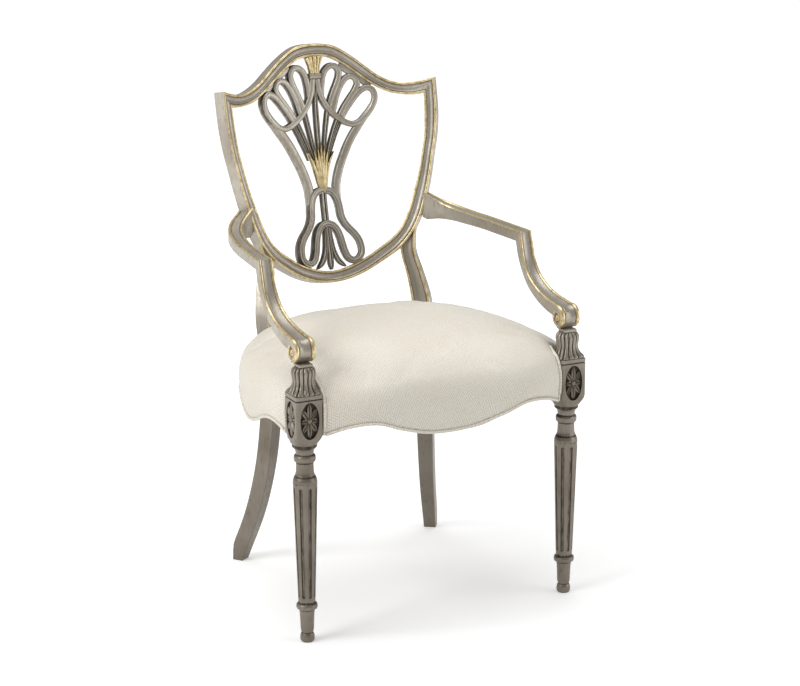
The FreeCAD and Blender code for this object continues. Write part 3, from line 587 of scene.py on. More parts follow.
def rounded_strap(crown, depth, wall):
    """Slightly rounded face with dark walls down both sides, their darkness antique glazing and painted shade.
    """
    rows = [(-0.5, -depth, 0.2), (-0.5, -depth * 0.45, wall), (-0.5, -2.0, wall * 0.8), (-0.46, -0.9, 0.12)]
    rows += [(-0.36, crown * 0.35, 0.0), (-0.18, crown * 0.85, 0.0)]
    return both_edges(rows, [(0.0, crown, 0.0)])


def beaded_strap(depth, wall):
    """Flat face with a raised bead along the middle, the grooves beside it darkened as antique glazing and
    painted shade.
    """
    rows = [(-0.5, -depth, 0.2), (-0.5, -depth * 0.6, wall), (-0.5, -2.6, wall)]
    rows += [(-0.45, -1.3, 0.15), (-0.3, -0.9, 0.1), (-0.21, -1.5, 0.75)]
    bead = []
    for step in range(5):
        angle = math.pi * (1 - step / 4)
        tint = 0.0 if 0 < step < 4 else 0.35
        bead.append((0.2 * math.cos(angle), -1.2 + 2.4 * math.sin(angle), tint))
    return both_edges(rows, bead)


def twin_reed(depth, wall):
    """Two thin ribs with a dark line between them, its darkness antique glazing and painted shade."""
    rows = [(-0.5, -depth, 0.2), (-0.5, -depth * 0.6, wall), (-0.5, -2.2, wall), (-0.46, -0.6, 0.1)]
    return both_edges(rows + [(-0.3, 0.9, 0.0), (-0.13, 0.4, 0.0), (-0.07, -1.7, 0.95)])


# Back


def back_point(x, z):
    """Point on the swept front face of the back."""
    rise = z - shield_base
    radius = sweep_radius_low + sweep_radius_gain * rise
    centre = shield_setback + shield_lean * rise - shield_straighten * rise**2
    return place(x, centre - radius + math.sqrt(radius**2 - x**2), z)


def back_normal(x, z):
    """Forward normal of the swept front face."""
    across = back_point(x + 0.5, z) - back_point(x - 0.5, z)
    up = back_point(x, z + 0.5) - back_point(x, z - 0.5)
    normal = across.cross(up).normalized()
    return normal if normal.y < 0 else -normal


def frame_member(name, outline):
    """Moulded member of the shield frame along its outline."""
    profile, finishes = bead_and_channel(0.2, 2.3, frame_depth)
    piece = Piece(name)
    rings = []
    for xo, zo, xi, zi in through(outline, station_step):
        outer, inner = back_point(xo, zo), back_point(xi, zi)
        normal = back_normal((xo + xi) / 2, (zo + zi) / 2)
        rings.append([outer + (inner - outer) * u + normal * (v * MM) for u, v, _ in profile])
    piece.skin(rings, finishes, glaze_and_shade_of(profile))
    return piece


def strap(piece, line, width, profile, finish, lift=0.0, closed=False, spread=None, raise_by=None):
    """Band of the splat along a line of (x, z) points on the swept face."""
    run = [tuple(p) for p in through(line, strap_step, closed)]
    count = len(run)
    rings = []
    for i, (x, z) in enumerate(run):
        before = run[i - 1] if closed or i else run[i]
        after = run[(i + 1) % count] if closed or i < count - 1 else run[i]
        along = (back_point(*after) - back_point(*before)).normalized()
        normal = back_normal(x, z)
        across = along.cross(normal).normalized()
        share = i / (count - 1)
        wide = width * (spread(share) if spread else 1.0)
        up = lift + (raise_by(share) if raise_by else 0.0)
        middle = back_point(x, z)
        rings.append([middle + across * (u * wide * MM) + normal * ((v + up) * MM) for u, v, _ in profile])
    piece.skin(rings, finish, glaze_and_shade_of(profile), closed=closed)


inner_loop = [
    (12.2, 878), (12.8, 890), (14.5, 906), (17.5, 921), (22, 931.5), (29, 939), (37, 942),
    (45, 939.5), (50, 932), (50, 922), (45.5, 909), (39, 895), (32.5, 880), (25.5, 860),
]
inner_stem = [(25.5, 862), (21.5, 844), (17.2, 822), (12.8, 796), (8, 764)]
middle_loop = [
    (31.5, 848), (36.5, 862), (41.5, 879), (48, 895), (56, 908.5), (64, 917), (73, 920), (81, 916.5),
    (85, 907), (80, 894), (68, 877), (56, 860), (48, 846),
]
middle_stem = [(46, 849), (42, 839), (34, 821), (28, 806), (21.5, 788), (14, 764)]
outer_loop = [
    (4.8, 918), (7.7, 897), (12.9, 881), (21.1, 865.6), (32.4, 851.5), (45.7, 840), (58, 832.5), (69, 829),
    (80.3, 831), (92.5, 840), (104.8, 854), (113.2, 869), (115.6, 882.6), (112, 893), (104, 897.5),
    (92.6, 893.8), (80.3, 882.7), (67.7, 867), (56.7, 852), (50.5, 842),
]
outer_stem = [(59, 854), (53.5, 844), (44.5, 826), (37.5, 811), (29.5, 792), (19, 765)]
ribbon = [
    (110, 864), (103, 853), (93, 840.5), (82, 826), (70.5, 810), (59.5, 792),
    (49, 771), (40, 751), (33, 731), (28.5, 712), (27.5, 696), (29, 680), (30.5, 664),
]
pear_half = [
    (0, 708), (8.5, 706.5), (17.5, 702), (25.6, 690), (29.5, 671.5), (31.4, 655), (36.4, 642.5), (44.1, 632),
    (53.1, 621.6), (60, 610), (63.1, 596.5), (62.3, 584), (55.6, 575), (45.8, 571.5), (37.3, 575.5),
    (31.4, 587), (27.5, 603), (24.4, 618), (18.5, 632.5), (9.5, 641.5), (0, 644),
]
fan_leaves = [
    ([(0, 638), (0, 612), (0, 588), (0, 557)], 9.5),
    ([(5.0, 636), (6.2, 612), (9.5, 590), (17.5, 572), (29, 561)], 8.0),
]
calyx_leaves = [
    ([(5.5, 707), (9, 728), (15.5, 754), (27, 779)], 6.4, 0.0),
    ([(4, 706), (6, 730), (9.5, 758), (15.5, 785)], 6.8, 1.3),
    ([(2, 705), (3, 732), (4.6, 760), (7, 789)], 6.8, 2.4),
    ([(0, 704), (0, 735), (0, 765), (0, 797)], 6.8, 3.4),
]
crown_leaves = [
    ([(7, 929), (8.6, 938), (11, 948), (15.5, 960)], 6.0, 0.0),
    ([(4, 929), (4.8, 938), (6.2, 949), (8.6, 962)], 6.2, 1.2),
    ([(0, 929), (0, 939), (0, 950), (0, 963)], 6.6, 2.2),
]


def straps(piece, line, *rest, **more):
    """The strap, and its mirror if its line is off the centre."""
    strap(piece, line, *rest, **more)
    if max(abs(x) for x, _ in line) > 1e-6:
        strap(piece, [(-x, z) for x, z in line], *rest, **more)


def leaf_width(share):
    """Width of a leaf from its root to its point."""
    return 0.5 + 0.55 * math.sin(math.pi * min(share * 0.9 + 0.1, 1.0)) - 0.47 * share**5


def ribbon_width(share):
    """Width of a ribbon, which grows out of the loop and dies behind the pear shaped band."""
    return min(1.0, 0.72 + 1.2 * share) - 0.55 * max(0.0, (share - 0.86) / 0.14)


def fan_width(share):
    """Width of a fan leaf, which swells and comes to a point."""
    return 0.72 + 0.5 * share - 1.0 * max(0.0, (share - 0.82) / 0.18) ** 2


def loop_fall(share):
    """Height of the outer loop, which dives under the others at its end."""
    return -3.4 * max(0.0, (share - 0.72) / 0.28)


def splat():
    """Carved and pierced splat of looped bands, stems, ribbons, a pear shaped band and a fan."""
    piece = Piece("carved_splat")
    band, leaf = rounded_strap(1.3, 15.0, 0.85), rounded_strap(1.6, 9.0, 0.95)
    reed, fan_reed = twin_reed(13.0, 0.95), twin_reed(13.0, 0.9)
    straps(piece, inner_loop, 11.2, band, paint, -1.6)
    straps(piece, middle_loop, 11.2, band, paint, -1.9)
    straps(piece, outer_loop, 11.4, band, paint, 0.4, raise_by=loop_fall)
    for line, width, lift in ((inner_stem, 8.8, -2.4), (middle_stem, 8.4, -2.6), (outer_stem, 7.4, -5.9)):
        straps(piece, line, width, reed, paint, lift, spread=lambda s: 1.05 - 0.35 * s)
    straps(piece, ribbon, 15.0, rounded_strap(0.8, 15.5, 0.5), paint, -0.9, spread=ribbon_width)
    web = [(52, 942), (66, 933), (82, 922), (96, 911), (108, 900)]
    straps(piece, web, 13.0, rounded_strap(0.3, 9.0, 0.9), paint, -5.5)
    spine = [(0, 905), (0, 880), (0, 850), (0, 815), (0, 764)]
    straps(piece, spine, 9.0, reed, paint, -1.6, spread=lambda s: 0.75 + 0.3 * math.sin(math.pi * s))
    strap(piece, mirrored_outline(pear_half)[:-1], 12.4, beaded_strap(19.0, 0.75), paint, 3.6, closed=True)
    straps(piece, [(0, 702), (0, 670), (0, 640)], 12.0, twin_reed(12.0, 0.9), paint, -1.0)
    for line, width in fan_leaves:
        straps(piece, line, width, fan_reed, paint, 0.6, spread=fan_width)
    tie = [(-11.5, 923.5), (-4, 923.5), (4, 923.5), (11.5, 923.5)]
    strap(piece, tie, 11.0, rounded_strap(2.2, 14.0, 0.5), paint, 1.6)
    for line, width, lift in calyx_leaves:
        straps(piece, line, width, leaf, gilt, lift, spread=leaf_width, raise_by=lambda s: 3.5 * s**3)
    for line, width, lift in crown_leaves:
        straps(piece, line, width, leaf, gilt, lift, spread=lambda s: 0.8 + 0.4 * s)
    return piece


def post_ring(knot, profile):
    """Level section of the rear leg and upright, turned to face the sitter."""
    z, x, y, wide, deep = knot
    across = Vector((math.cos(post_turn), -math.sin(post_turn), 0))
    back = Vector((math.sin(post_turn), math.cos(post_turn), 0))
    face = place(x, y, z)
    heel = blend(heel_cut, 0, min(1.0, z / heel_height))
    ring = []
    for u, v, _ in profile:
        depth = -v if v > -face_depth else min(-v * deep / frame_depth, deep - heel)
        ring.append(face + across * ((u - 0.5) * wide * MM) + back * (depth * MM))
    return ring


def plain_section():
    """Section of the sabre leg, with eased corners, as shares of its width; the corners are darkened slightly
    as antique glazing and painted shade.
    """
    rows = [(0.04, -23.0, 0.15), (0.0, -21.5, 0.1), (0.0, -12.0, 0.0), (0.0, -1.2, 0.1), (0.04, 0.0, 0.0)]
    flipped = [(1 - u, v, g) for u, v, g in reversed(rows)]
    return rows + [(0.35, 0.0, 0.0), (0.65, 0.0, 0.0)] + flipped


def back_post():
    """Sabre leg, moulded upright and shield side."""
    piece = frame_member("back_post_right_carved", stile_outline)
    knots = through(post_path, 12.0)
    lower = [knot for knot in knots if knot[0] <= leg_top]
    upper = [knot for knot in knots if knot[0] >= upright_foot]
    plain = plain_section()
    piece.skin([post_ring(knot, plain) for knot in lower], paint, glaze_and_shade_of(plain))
    profile, finishes = bead_and_channel(0.15, 3.2, frame_depth)
    piece.skin([post_ring(knot, profile) for knot in upper], finishes, glaze_and_shade_of(profile))
    return piece


# Arms

arm_bow = [
    (185, 0.985, 0.5), (232, 0.925, 2), (285, 0.845, 4), (335, 0.70, 7), (375, 0.53, 12),
    (402, 0.30, 20), (419, 0.0, 33),
]
support_rows = [
    (157.5, 661.0, 171.0, 640.5), (151.5, 640.0, 163.0, 616.0), (141.5, 611.0, 146.5, 589.0),
    (124.0, 588.0, 122.0, 564.0), (96.0, 570.5, 92.0, 547.5), (62.0, 560.0, 60.0, 536.5),
    (34.0, 555.5, 34.0, 531.5), (14.0, 552.8, 16.0, 530.0),
]


def arm_rows():
    """Arm as rows of centre x, y, top height and thickness."""
    rows = []
    for y, share, rise in arm_bow:
        deep = arm_thickness + arm_root_growth * (1 - share) ** 2.2
        rows.append((blend(arm_root_x, leg_x, share), y, knuckle_front[1] + rise, deep))
    return rows


def top_moulding(sink):
    """Profile of the arm and its support."""
    return bead_and_channel(0.195, sink, arm_thickness)


def arm():
    """Arm from the knuckle back to the shield."""
    piece = Piece("arm_right_carved")
    profile, finishes = top_moulding(0.6)
    rows = through(arm_rows(), 8.0)
    top = place(leg_x, *knuckle_front)
    down = place(leg_x, *knuckle_rear) - top
    ring = []
    for u, v, _ in profile:
        ring.append(top + Vector(((0.5 - u) * support_width * MM, 0, 0)) + down * (-v / arm_thickness))
    rings = [ring]
    for i, (x, y, z, deep) in enumerate(rows):
        before, after = rows[max(i - 1, 0)], rows[min(i + 1, len(rows) - 1)]
        along = Vector((after[0] - before[0], after[1] - before[1], 0)).normalized()
        across = Vector((along.y, -along.x, 0))
        ring = []
        for u, v, _ in profile:
            drop = v if v > -face_depth else v * deep / arm_thickness
            ring.append(place(x, y, z) + across * ((0.5 - u) * arm_width * MM) + Vector((0, 0, drop * MM)))
        rings.append(ring)
    run = Vector((rows[-1][0] - rows[-3][0], rows[-1][1] - rows[-3][1], 0)).normalized()
    rings.append([p + run * (9 * MM) + Vector((0, 0, 5 * MM)) for p in rings[-1]])
    piece.skin(rings, finishes, glaze_and_shade_of(profile))
    return piece


def arm_support():
    """Swept support that ends in a volute over the front leg."""
    piece = Piece("arm_support_right_carved")
    profile, finishes = top_moulding(1.5)
    rows = [tuple(row) for row in through(support_rows, 7.0)]
    turns = 16
    inner = scroll_radius - scroll_band
    for step in range(1, turns + 1):
        angle = math.radians(scroll_start + scroll_sweep * step / turns)
        cos, sin = math.cos(angle), math.sin(angle)
        reach = scroll_radius - 1.2 * step / turns
        outside = (scroll_y + reach * cos, scroll_z + reach * sin)
        rows.append((*outside, scroll_y + inner * cos, scroll_z + inner * sin))
    rings = []
    for number, (yf, zf, yr, zr) in enumerate(rows):
        wide = blend(support_width, scroll_width, min(1.0, number / (len(rows) - turns)) ** 1.6)
        front, rear = place(leg_x, yf, zf), place(leg_x, yr, zr)
        down = (rear - front) / arm_thickness
        unit = (rear - front).normalized() * MM
        ring = []
        for u, v, _ in profile:
            fall = unit * -v if v > -face_depth else down * -v
            ring.append(front + Vector(((0.5 - u) * wide * MM, 0, 0)) + fall)
        rings.append(ring)
    piece.skin(rings, finishes, glaze_and_shade_of(profile))
    disc(piece, scroll_width / 2 - 1.8)
    volute(piece, 1)
    volute(piece, -1)
    saddle(piece)
    return piece


def scroll_ring(x, radius, count):
    """Upright circle of points round the centre of the scroll."""
    return [place(leg_x + x, scroll_y + radius * cos, scroll_z + radius * sin) for cos, sin in circle(count)]


def disc(piece, half):
    """Body of the scroll between its two volutes."""
    rows = ((-half, 0.3), (-half, 16.0), (-half + 0.6, 18.5), (half - 0.6, 18.5), (half, 16.0), (half, 0.3))
    rings = [scroll_ring(x, radius, 32) for x, radius in rows]
    # Antique glazing and painted shade: the cheeks of the scroll are darker than its rim.
    piece.skin(rings, paint, by_ring=[0.55, 0.55, 0.2, 0.2, 0.55, 0.55])


def volute(piece, side):
    """Gilt spiral bead on one cheek of the scroll, with its eye."""
    turns, count = 1.65, 70
    rings = []
    for step in range(count + 1):
        share = step / count
        angle = math.radians(92) + turns * 2 * math.pi * share
        radius = blend(scroll_radius - 2.4, 4.2, share**0.92)
        thick = blend(2.5, 1.7, share)
        out = Vector((0, math.cos(angle), math.sin(angle)))
        centre = Vector((0, scroll_y, scroll_z)) + out * radius
        ring = []
        for cos, sin in circle(8):
            spot = centre + out * (thick * cos)
            ring.append(place(leg_x + side * (scroll_cheek + thick * 0.9 * sin), spot.y, spot.z))
        rings.append(ring)
    # The spiral's inner side is darkened as antique glazing and painted shade.
    piece.skin(rings, gilt, [0.25, 0.0, 0.0, 0.0, 0.25, 0.8, 0.9, 0.8])
    eye = ((-3.0, 3.6), (0.6, 3.5), (1.5, 2.6), (1.9, 1.2), (2.0, 0.1))
    rings = [scroll_ring(side * (scroll_cheek + stand), radius, 14) for stand, radius in eye]
    # The foot of the eye is darkened as antique glazing and painted shade.
    piece.skin(rings, gilt, by_ring=[0.8, 0.0, 0.0, 0.0, 0.0])


def saddle(piece):
    """Block under the scroll, down to the leg."""
    rows = ((509.9, 9.0, 0.5, 18.0), (512, 11.0, -1.0, 20.5), (516, 13.5, -5, 24), (524, 15.0, -8, 27))
    rings = []
    for z, half, y0, y1 in rows:
        corners = ((-half, y0), (half, y0), (half, y1), (-half, y1))
        rings.append([place(leg_x + x, y, z) for x, y in corners])
    # Antique glazing and painted shade darken the whole block a little.
    piece.skin(rings, paint, 0.35)


# Front legs

turning = [
    [(10.6, 0.0), (12.3, 2.5), (12.8, 8.0), (12.3, 13.0), (10.6, 17.0)],
    [(10.4, 17.6), (11.4, 21.0), (12.2, 34.0), (12.8, 48.0), (13.8, 60.0)],
    [(15.0, 61.0), (18.2, 63.0), (19.0, 67.0), (18.0, 71.0), (15.6, 72.6)],
    [(14.9, 73.2), (15.2, 76.0)],
]
upper_turning = [
    [(21.7, 296.0), (21.2, 301.0), (19.0, 307.0)],
    [(17.9, 308.5), (16.4, 313.0), (15.7, 320.0), (15.4, 332.0)],
    [(16.5, 333.6), (18.6, 335.4), (19.3, 340.3), (18.6, 345.2), (16.5, 347.0)],
    [(15.8, 348.0), (16.0, 352.0), (18.5, 358.0), (21.5, 361.0)],
    [(22.0, 361.4), (22.2, 366.4)],
]
# Rows of height, reach at the corners, groove sunk into the sides
block_rows = [
    (366.0, 22.0, 0), (370.0, 25.2, 0), (376.0, 29.6, 0), (382.0, 33.2, 0), (388.0, 35.2, 0), (392.0, 36.2, 0),
    (447.4, 36.2, 0), (448.6, 36.2, 1.1), (449.2, 36.2, 1.1), (450.2, 36.2, 0), (451.0, 36.2, 0),
    (456.2, 36.2, 0), (456.8, 35.6, 0.6),
]
# Rows of height, radius, depth of the reeding, squareness
capital_rows = [
    (457.0, 25.0, 0.5, 1.0), (459.0, 26.2, 0.7, 0.95), (462.0, 25.6, 0.9, 0.75), (466.0, 22.9, 1.0, 0.45),
    (472.0, 20.6, 1.0, 0.15), (479.0, 19.8, 1.0, 0.0), (487.0, 20.9, 1.0, 0.0), (494.0, 21.8, 1.0, 0.0),
    (499.0, 20.8, 1.0, 0.0), (502.8, 17.8, 0.9, 0.0), (504.8, 13.6, 0.6, 0.0),
]


def turned(piece, runs):
    """Lathe work through runs of (radius, height), with a crisp edge between runs."""
    rings, tints = [], []
    for run in runs:
        rows = through(run, 1.6) if len(run) > 2 else [Vector(row) for row in run]
        for i, (radius, z) in enumerate(rows):
            rings.append([place(leg_x + radius * cos, radius * sin, z) for cos, sin in circle(48)])
            # The rings at the ends of each run are darkened as antique glazing and painted shade in the
            # grooves between runs.
            tints.append(0.75 if i in (0, len(rows) - 1) else 0.05)
    piece.skin(rings, paint, by_ring=tints)


def fluted_shaft(piece):
    """Tapered shaft with round ended flutes."""
    low, high = shaft_heights
    half = flute_width / 2
    start, end = flute_start, flute_end
    ends = [half * (1 - math.cos(math.pi / 2 * k / 7)) for k in range(8)]
    heights = [low, 80.0, start - 0.6] + [start + rise for rise in ends]
    heights += [blend(start + half, end - half, k / 24) for k in range(1, 24)]
    heights += [end - rise for rise in reversed(ends)] + [end + 0.6, high]
    edge = [(-1.12, 0.0, 0.05), (-1.0, 0.25, 0.2), (-0.9, 0.9, 0.8), (-0.45, 1.0, 0.55)]
    section = both_edges(edge, [(0.0, 1.0, 0.45)])
    land = math.pi / flute_count
    rings, tints = [], []
    for z in heights:
        radius = blend(*shaft_radii, (z - low) / (high - low))
        reach = min(z - start, end - z)
        opening, sunk = 0.12, 0.0
        if reach > 0:
            rounded = math.sqrt(max(half**2 - (half - reach) ** 2, 0.02))
            opening = half if reach >= half else rounded
            sunk = flute_depth * min(1.0, reach / 0.8)
        wall = opening / radius
        near = blend(wall * 1.12, land, 0.35)
        ring, tint = [], []
        for k in range(flute_count):
            centre = 2 * math.pi * k / flute_count
            spots = [(share * wall, radius - sunk * depth) for share, depth, _ in section]
            spots += [(near, radius), (land, radius), (2 * land - near, radius)]
            for turn, r in spots:
                ring.append(place(leg_x + r * math.sin(centre + turn), -r * math.cos(centre + turn), z))
            # The flutes' walls and floors are darkened as antique glazing and painted shade.
            tint += [shade if sunk else 0.05 for _, _, shade in section] + [0.0] * 3
        rings.append(ring)
        tints.append(tint)
    piece.skin(rings, paint, by_ring=tints)


def block_mesh():
    """Square block with turned lower corners."""
    block = Piece("block")
    rings = []
    for z, corner, groove in block_rows:
        square = half_block - groove
        ring = []
        for cos, sin in circle(64, 0.5):
            reach = min(square / max(abs(cos), abs(sin)), corner, square * 1.385)
            ring.append(place(leg_x + reach * cos, reach * sin, z))
        rings.append(ring)
    # The groove round the block is darkened as antique glazing and painted shade.
    block.skin(rings, paint, by_ring=[1.0 if groove > 1 else 0.05 for _, _, groove in block_rows])
    return block


def baked(thing):
    """Plain mesh of an object with its modifiers, whose object is then dropped."""
    bpy.context.view_layer.update()
    graph = bpy.context.evaluated_depsgraph_get()
    made = bpy.data.meshes.new_from_object(thing.evaluated_get(graph))
    bpy.data.objects.remove(thing)
    return made


def carved(body, cutters):
    """Mesh of a piece with others cut out of it."""
    thing = put("body", body.mesh())
    tools = [put("cutter", cutter.mesh()) for cutter in cutters]
    for tool in tools:
        change = thing.modifiers.new("cut", "BOOLEAN")
        change.object = tool
        change.operation = "DIFFERENCE"
        change.solver = "EXACT"
    made = baked(thing)
    for tool in tools:
        bpy.data.objects.remove(tool)
    return made


def on_face(side, across, inward, z):
    """Point on the front or the outer side of a leg's block, sunk inward."""
    if side == "front":
        return place(leg_x + across, inward - half_block, z)
    return place(leg_x + half_block - inward, across, z)


def cut_ovals(block):
    """The block with its two oval recesses cut, and their floors darkened as antique glazing and painted
    shade.
    """
    cutters = []
    for side in ("front", "side"):
        rings = []
        for depth, shrink in ((-3.0, 1.0), (3.4, 1.0), (4.4, 0.93)):
            wide, tall = oval_half_width * shrink, oval_half_height * (1 - (1 - shrink) * 0.55)
            spots = [(wide * cos, oval_centre + tall * sin) for cos, sin in circle(48)]
            rings.append([on_face(side, across, depth, z) for across, z in spots])
        cutter = Piece("oval_cutter")
        # The cutter's faces carry the darkening of the recess walls, as antique glazing and painted shade.
        cutter.skin(rings, paint, 0.95)
        cutters.append(cutter)
    made = carved(block, cutters)
    # Antique glazing and painted shade: points on the floor of each recess are set fully dark.
    tint = made.attributes["glaze_and_shade"].data
    for vertex in made.vertices:
        x, y, z = measured(vertex.co)
        rise = (z - oval_centre) / (oval_half_height + 0.8)
        for across, inward in ((x - leg_x, y + half_block), (y, half_block - (x - leg_x))):
            if 2.0 < inward < 6.0 and (across / (oval_half_width + 0.6)) ** 2 + rise**2 < 1:
                tint[vertex.index].value = 1.0
    return made


def petal(length, width):
    """Carved petal with a mid rib, lying along +Z from a centre, face towards -Y."""
    shape = Piece("petal")
    # The petal's foot and its mid rib groove are darkened as antique glazing and painted shade.
    rows = [(-0.5, -0.2, 0.95), (-0.42, 0.62, 0.2), (-0.2, 0.95, 0.0), (-0.06, 0.72, 0.25)]
    profile = both_edges(rows, [(0.0, 0.45, 0.9)])
    rings = []
    for i in range(10):
        s = i / 9
        wide = width * (0.28 + 0.72 * math.sin(math.pi * min(s * 0.82 + 0.1, 1)) ** 0.8)
        wide *= 1 - 0.75 * max(0, (s - 0.8) / 0.2) ** 2
        rise = 5.2 * math.sin(math.pi * (0.15 + 0.7 * s))
        rings.append([Vector((u * wide, -v * rise, blend(3.0, length, s))) * MM for u, v, _ in profile])
    shape.skin(rings, paint, glaze_and_shade_of(profile))
    return shape


def rosette(piece, side):
    """Oval rosette of petals round a button, in the recess on one face of the block."""
    flower = Piece("rosette")
    for half_turn in (0, 180):
        for turn, length, width in ((0, 31.5, 11.0), (36, 25.5, 10.5), (90, 16.5, 10.5), (144, 25.5, 10.5)):
            shape = petal(length, width)
            rotation = Matrix.Rotation(math.radians(half_turn + turn), 4, "Y")
            shape.points = [rotation @ p for p in shape.points]
            for p in shape.points:
                p.x *= 0.94
            flower.add(shape)
    rings = []
    for stand, radius in ((-1.0, 4.4), (3.4, 4.3), (4.6, 3.4), (5.2, 1.8), (5.4, 0.2)):
        rings.append([Vector((radius * cos, -stand, radius * sin)) * MM for cos, sin in circle(16)])
    # The button's foot is darkened as antique glazing and painted shade.
    flower.skin(rings, paint, by_ring=[0.9, 0.0, 0.0, 0.0, 0.0])
    centre = on_face(side, 0, petal_ground, oval_centre)
    for i, p in enumerate(flower.points):
        flower.points[i] = centre + (p if side == "front" else Vector((-p.y, p.x, p.z)))
    piece.add(flower)


def capital(piece):
    """Reeded leaf capital between the block and the abacus."""
    reeds, count = 16, 128
    rings, tints = [], []
    for z, radius, cut, corner in through(capital_rows, 1.6):
        ring, tint = [], []
        for k, (cos, sin) in enumerate(circle(count)):
            groove = 1 - abs(math.sin(2 * math.pi * k / count * reeds / 2)) ** 0.55
            square = 1 / max(abs(cos), abs(sin))
            reach = radius * blend(1.0, min(square, 1.3), max(0.0, corner) * 0.8)
            reach -= 3.0 * max(0.0, min(1.0, cut)) * groove
            ring.append(place(leg_x + reach * cos, reach * sin, z))
            # The grooves between the reeds are darkened as antique glazing and painted shade.
            tint.append(min(1.0, groove * 1.25 * cut) if cut > 0.2 else 0.5)
        rings.append(ring)
        tints.append(tint)
    piece.skin(rings, paint, by_ring=tints)
    corners = [math.pi / 4 + math.pi / 2 * k + nudge for k in range(4) for nudge in (-0.06, 0.06)]
    rings = []
    for z, half in ((504.6, 11.4), (505.4, 12.2), (509.4, 12.3), (510.0, 11.7)):
        reach = half * 1.39
        rings.append([place(leg_x + reach * math.cos(a), reach * math.sin(a), z) for a in corners])
    # The abacus' lower edge is darkened as antique glazing and painted shade.
    piece.skin(rings, paint, by_ring=[0.7, 0.05, 0.05, 0.05])


def front_leg():
    """Turned and fluted leg with its carved block and capital."""
    piece = Piece("front_leg_right_carved")
    turned(piece, turning)
    fluted_shaft(piece)
    turned(piece, upper_turning)
    piece.take(cut_ovals(block_mesh()))
    rosette(piece, "front")
    rosette(piece, "side")
    capital(piece)
    return piece


# Seat


def outline_ring(count):
    """Points round the widest line of the upholstery."""
    left = [(-x, y) for x, y in reversed(seat_outline[1:-1])]
    dense = [tuple(p) for p in through(seat_outline + left, 6.0, closed=True)]
    lengths = [0.0]
    for a, b in zip(dense, dense[1:] + dense[:1]):
        lengths.append(lengths[-1] + math.dist(a, b))
    ring = []
    spot = 0
    for k in range(count):
        want = lengths[-1] * k / count
        while lengths[spot + 1] < want:
            spot += 1
        share = (want - lengths[spot]) / (lengths[spot + 1] - lengths[spot])
        a, b = dense[spot], dense[(spot + 1) % len(dense)]
        ring.append((blend(a[0], b[0], share), blend(a[1], b[1], share)))
    return ring


def shrunk(ring, share, inset=0.0):
    """Seat outline drawn in towards the middle of the seat."""
    made = []
    for x, y in ring:
        reach = math.hypot(x, y - seat_middle)
        scale = share * (1 - inset / reach)
        made.append((x * scale, seat_middle + (y - seat_middle) * scale))
    return made


def look_up(rows, value):
    """Height at a distance along (distance, height) rows."""
    for (a, za), (b, zb) in zip(rows, rows[1:]):
        if value <= b:
            return blend(za, zb, max(0.0, (value - a) / (b - a)))
    return rows[-1][1]


def wave_height(x, y):
    """Height of the seat's lower edge at a place on its side."""
    if y < half_block and abs(x) < leg_x - half_block:
        return look_up(front_dense, abs(x))
    if y <= wave_end:
        return look_up(side_dense, min(y, 2 * wave_middle - y))
    return rear_low


front_dense = [tuple(p) for p in through([(-50, 366)] + front_wave, 4.0) if p[0] >= 0]
side_dense = [tuple(p) for p in through(side_wave + [(242, 374)], 4.0) if p[0] <= wave_middle + 0.01]


def cover_share(z):
    """Share of the widest outline that the cover has at a height."""
    if z < seat_edge:
        return blend(1.0, hem_share, (seat_edge - z) / hem_fall)
    return (1 - ((z - seat_edge) / (cover_crown - seat_edge)) ** (1 / crown_root)) ** (1 / crown_power)


def seat_shape():
    """Closed upholstery body with a waved lower edge and a hollow for the rails."""
    body = Piece("upholstery", "seat_fabric")
    ring = outline_ring(200)
    low = [wave_height(x, y) + hem_gap for x, y in ring]
    rings = []

    def level(share, z, inset=0.0):
        rings.append([place(x, y, z) for x, y in shrunk(ring, share, inset)])

    for k in range(20):
        share = math.sin(math.pi / 2 * (k + 0.6) / 20)
        level(share, blend(seat_edge, cover_crown, (1 - share**crown_power) ** crown_root))
    level(1.0, seat_edge)
    for drop in (0.35, 0.7, 1.0):
        row = []
        for spot, bottom in zip(ring, low):
            z = blend(seat_edge, bottom, drop)
            row.append(place(*shrunk([spot], cover_share(z))[0], z))
        rings.append(row)
    for inset in (cover_thickness * 0.5, cover_thickness):
        rings.append([place(x, y, z) for (x, y), z in zip(shrunk(ring, hollow_share, inset), low)])
    for share in (1.0, 0.66, 0.33, 0.02):
        level(hollow_share * share, hollow_top, cover_thickness)
    body.skin(rings, cloth)
    return body


def boxed(x0, x1, y0, y1, z0, z1):
    """Box cutter between two corners."""
    cutter = Piece("cutter")
    corners = ((x0, y0), (x1, y0), (x1, y1), (x0, y1))
    cutter.skin([[place(x, y, z) for x, y in corners] for z in (z0, z1)], cloth)
    return cutter


def post_cutter(side):
    """Cutter round the rear post where it goes through the upholstery."""
    cutter = Piece("cutter")
    square = [(0, -frame_depth, 0), (0, 0, 0), (1, 0, 0), (1, -frame_depth, 0)]
    room = 0.6
    rings = []
    for z, x, y, wide, deep in through(post_path[4:9], 20.0):
        x, y = x - room * math.sin(post_turn), y - room * math.cos(post_turn)
        ring = post_ring((z, x, y, wide + 2 * room, deep + 2 * room), square)
        rings.append([Vector((p.x * side, p.y, p.z)) for p in ring])
    cutter.skin(rings, cloth)
    return cutter


def seat():
    """Tight crowned seat, stuffed by a cloth simulation and notched round the legs."""
    reach = half_block + 0.5
    cutters = [post_cutter(1), post_cutter(-1)]
    cutters.append(boxed(leg_x - reach, leg_x + 60, -120, reach, 300, 560))
    cutters.append(boxed(-leg_x - 60, reach - leg_x, -120, reach, 300, 560))
    made = put("seat_upholstery", carved(seat_shape(), cutters))
    stuff(made)
    finish_seat(made)


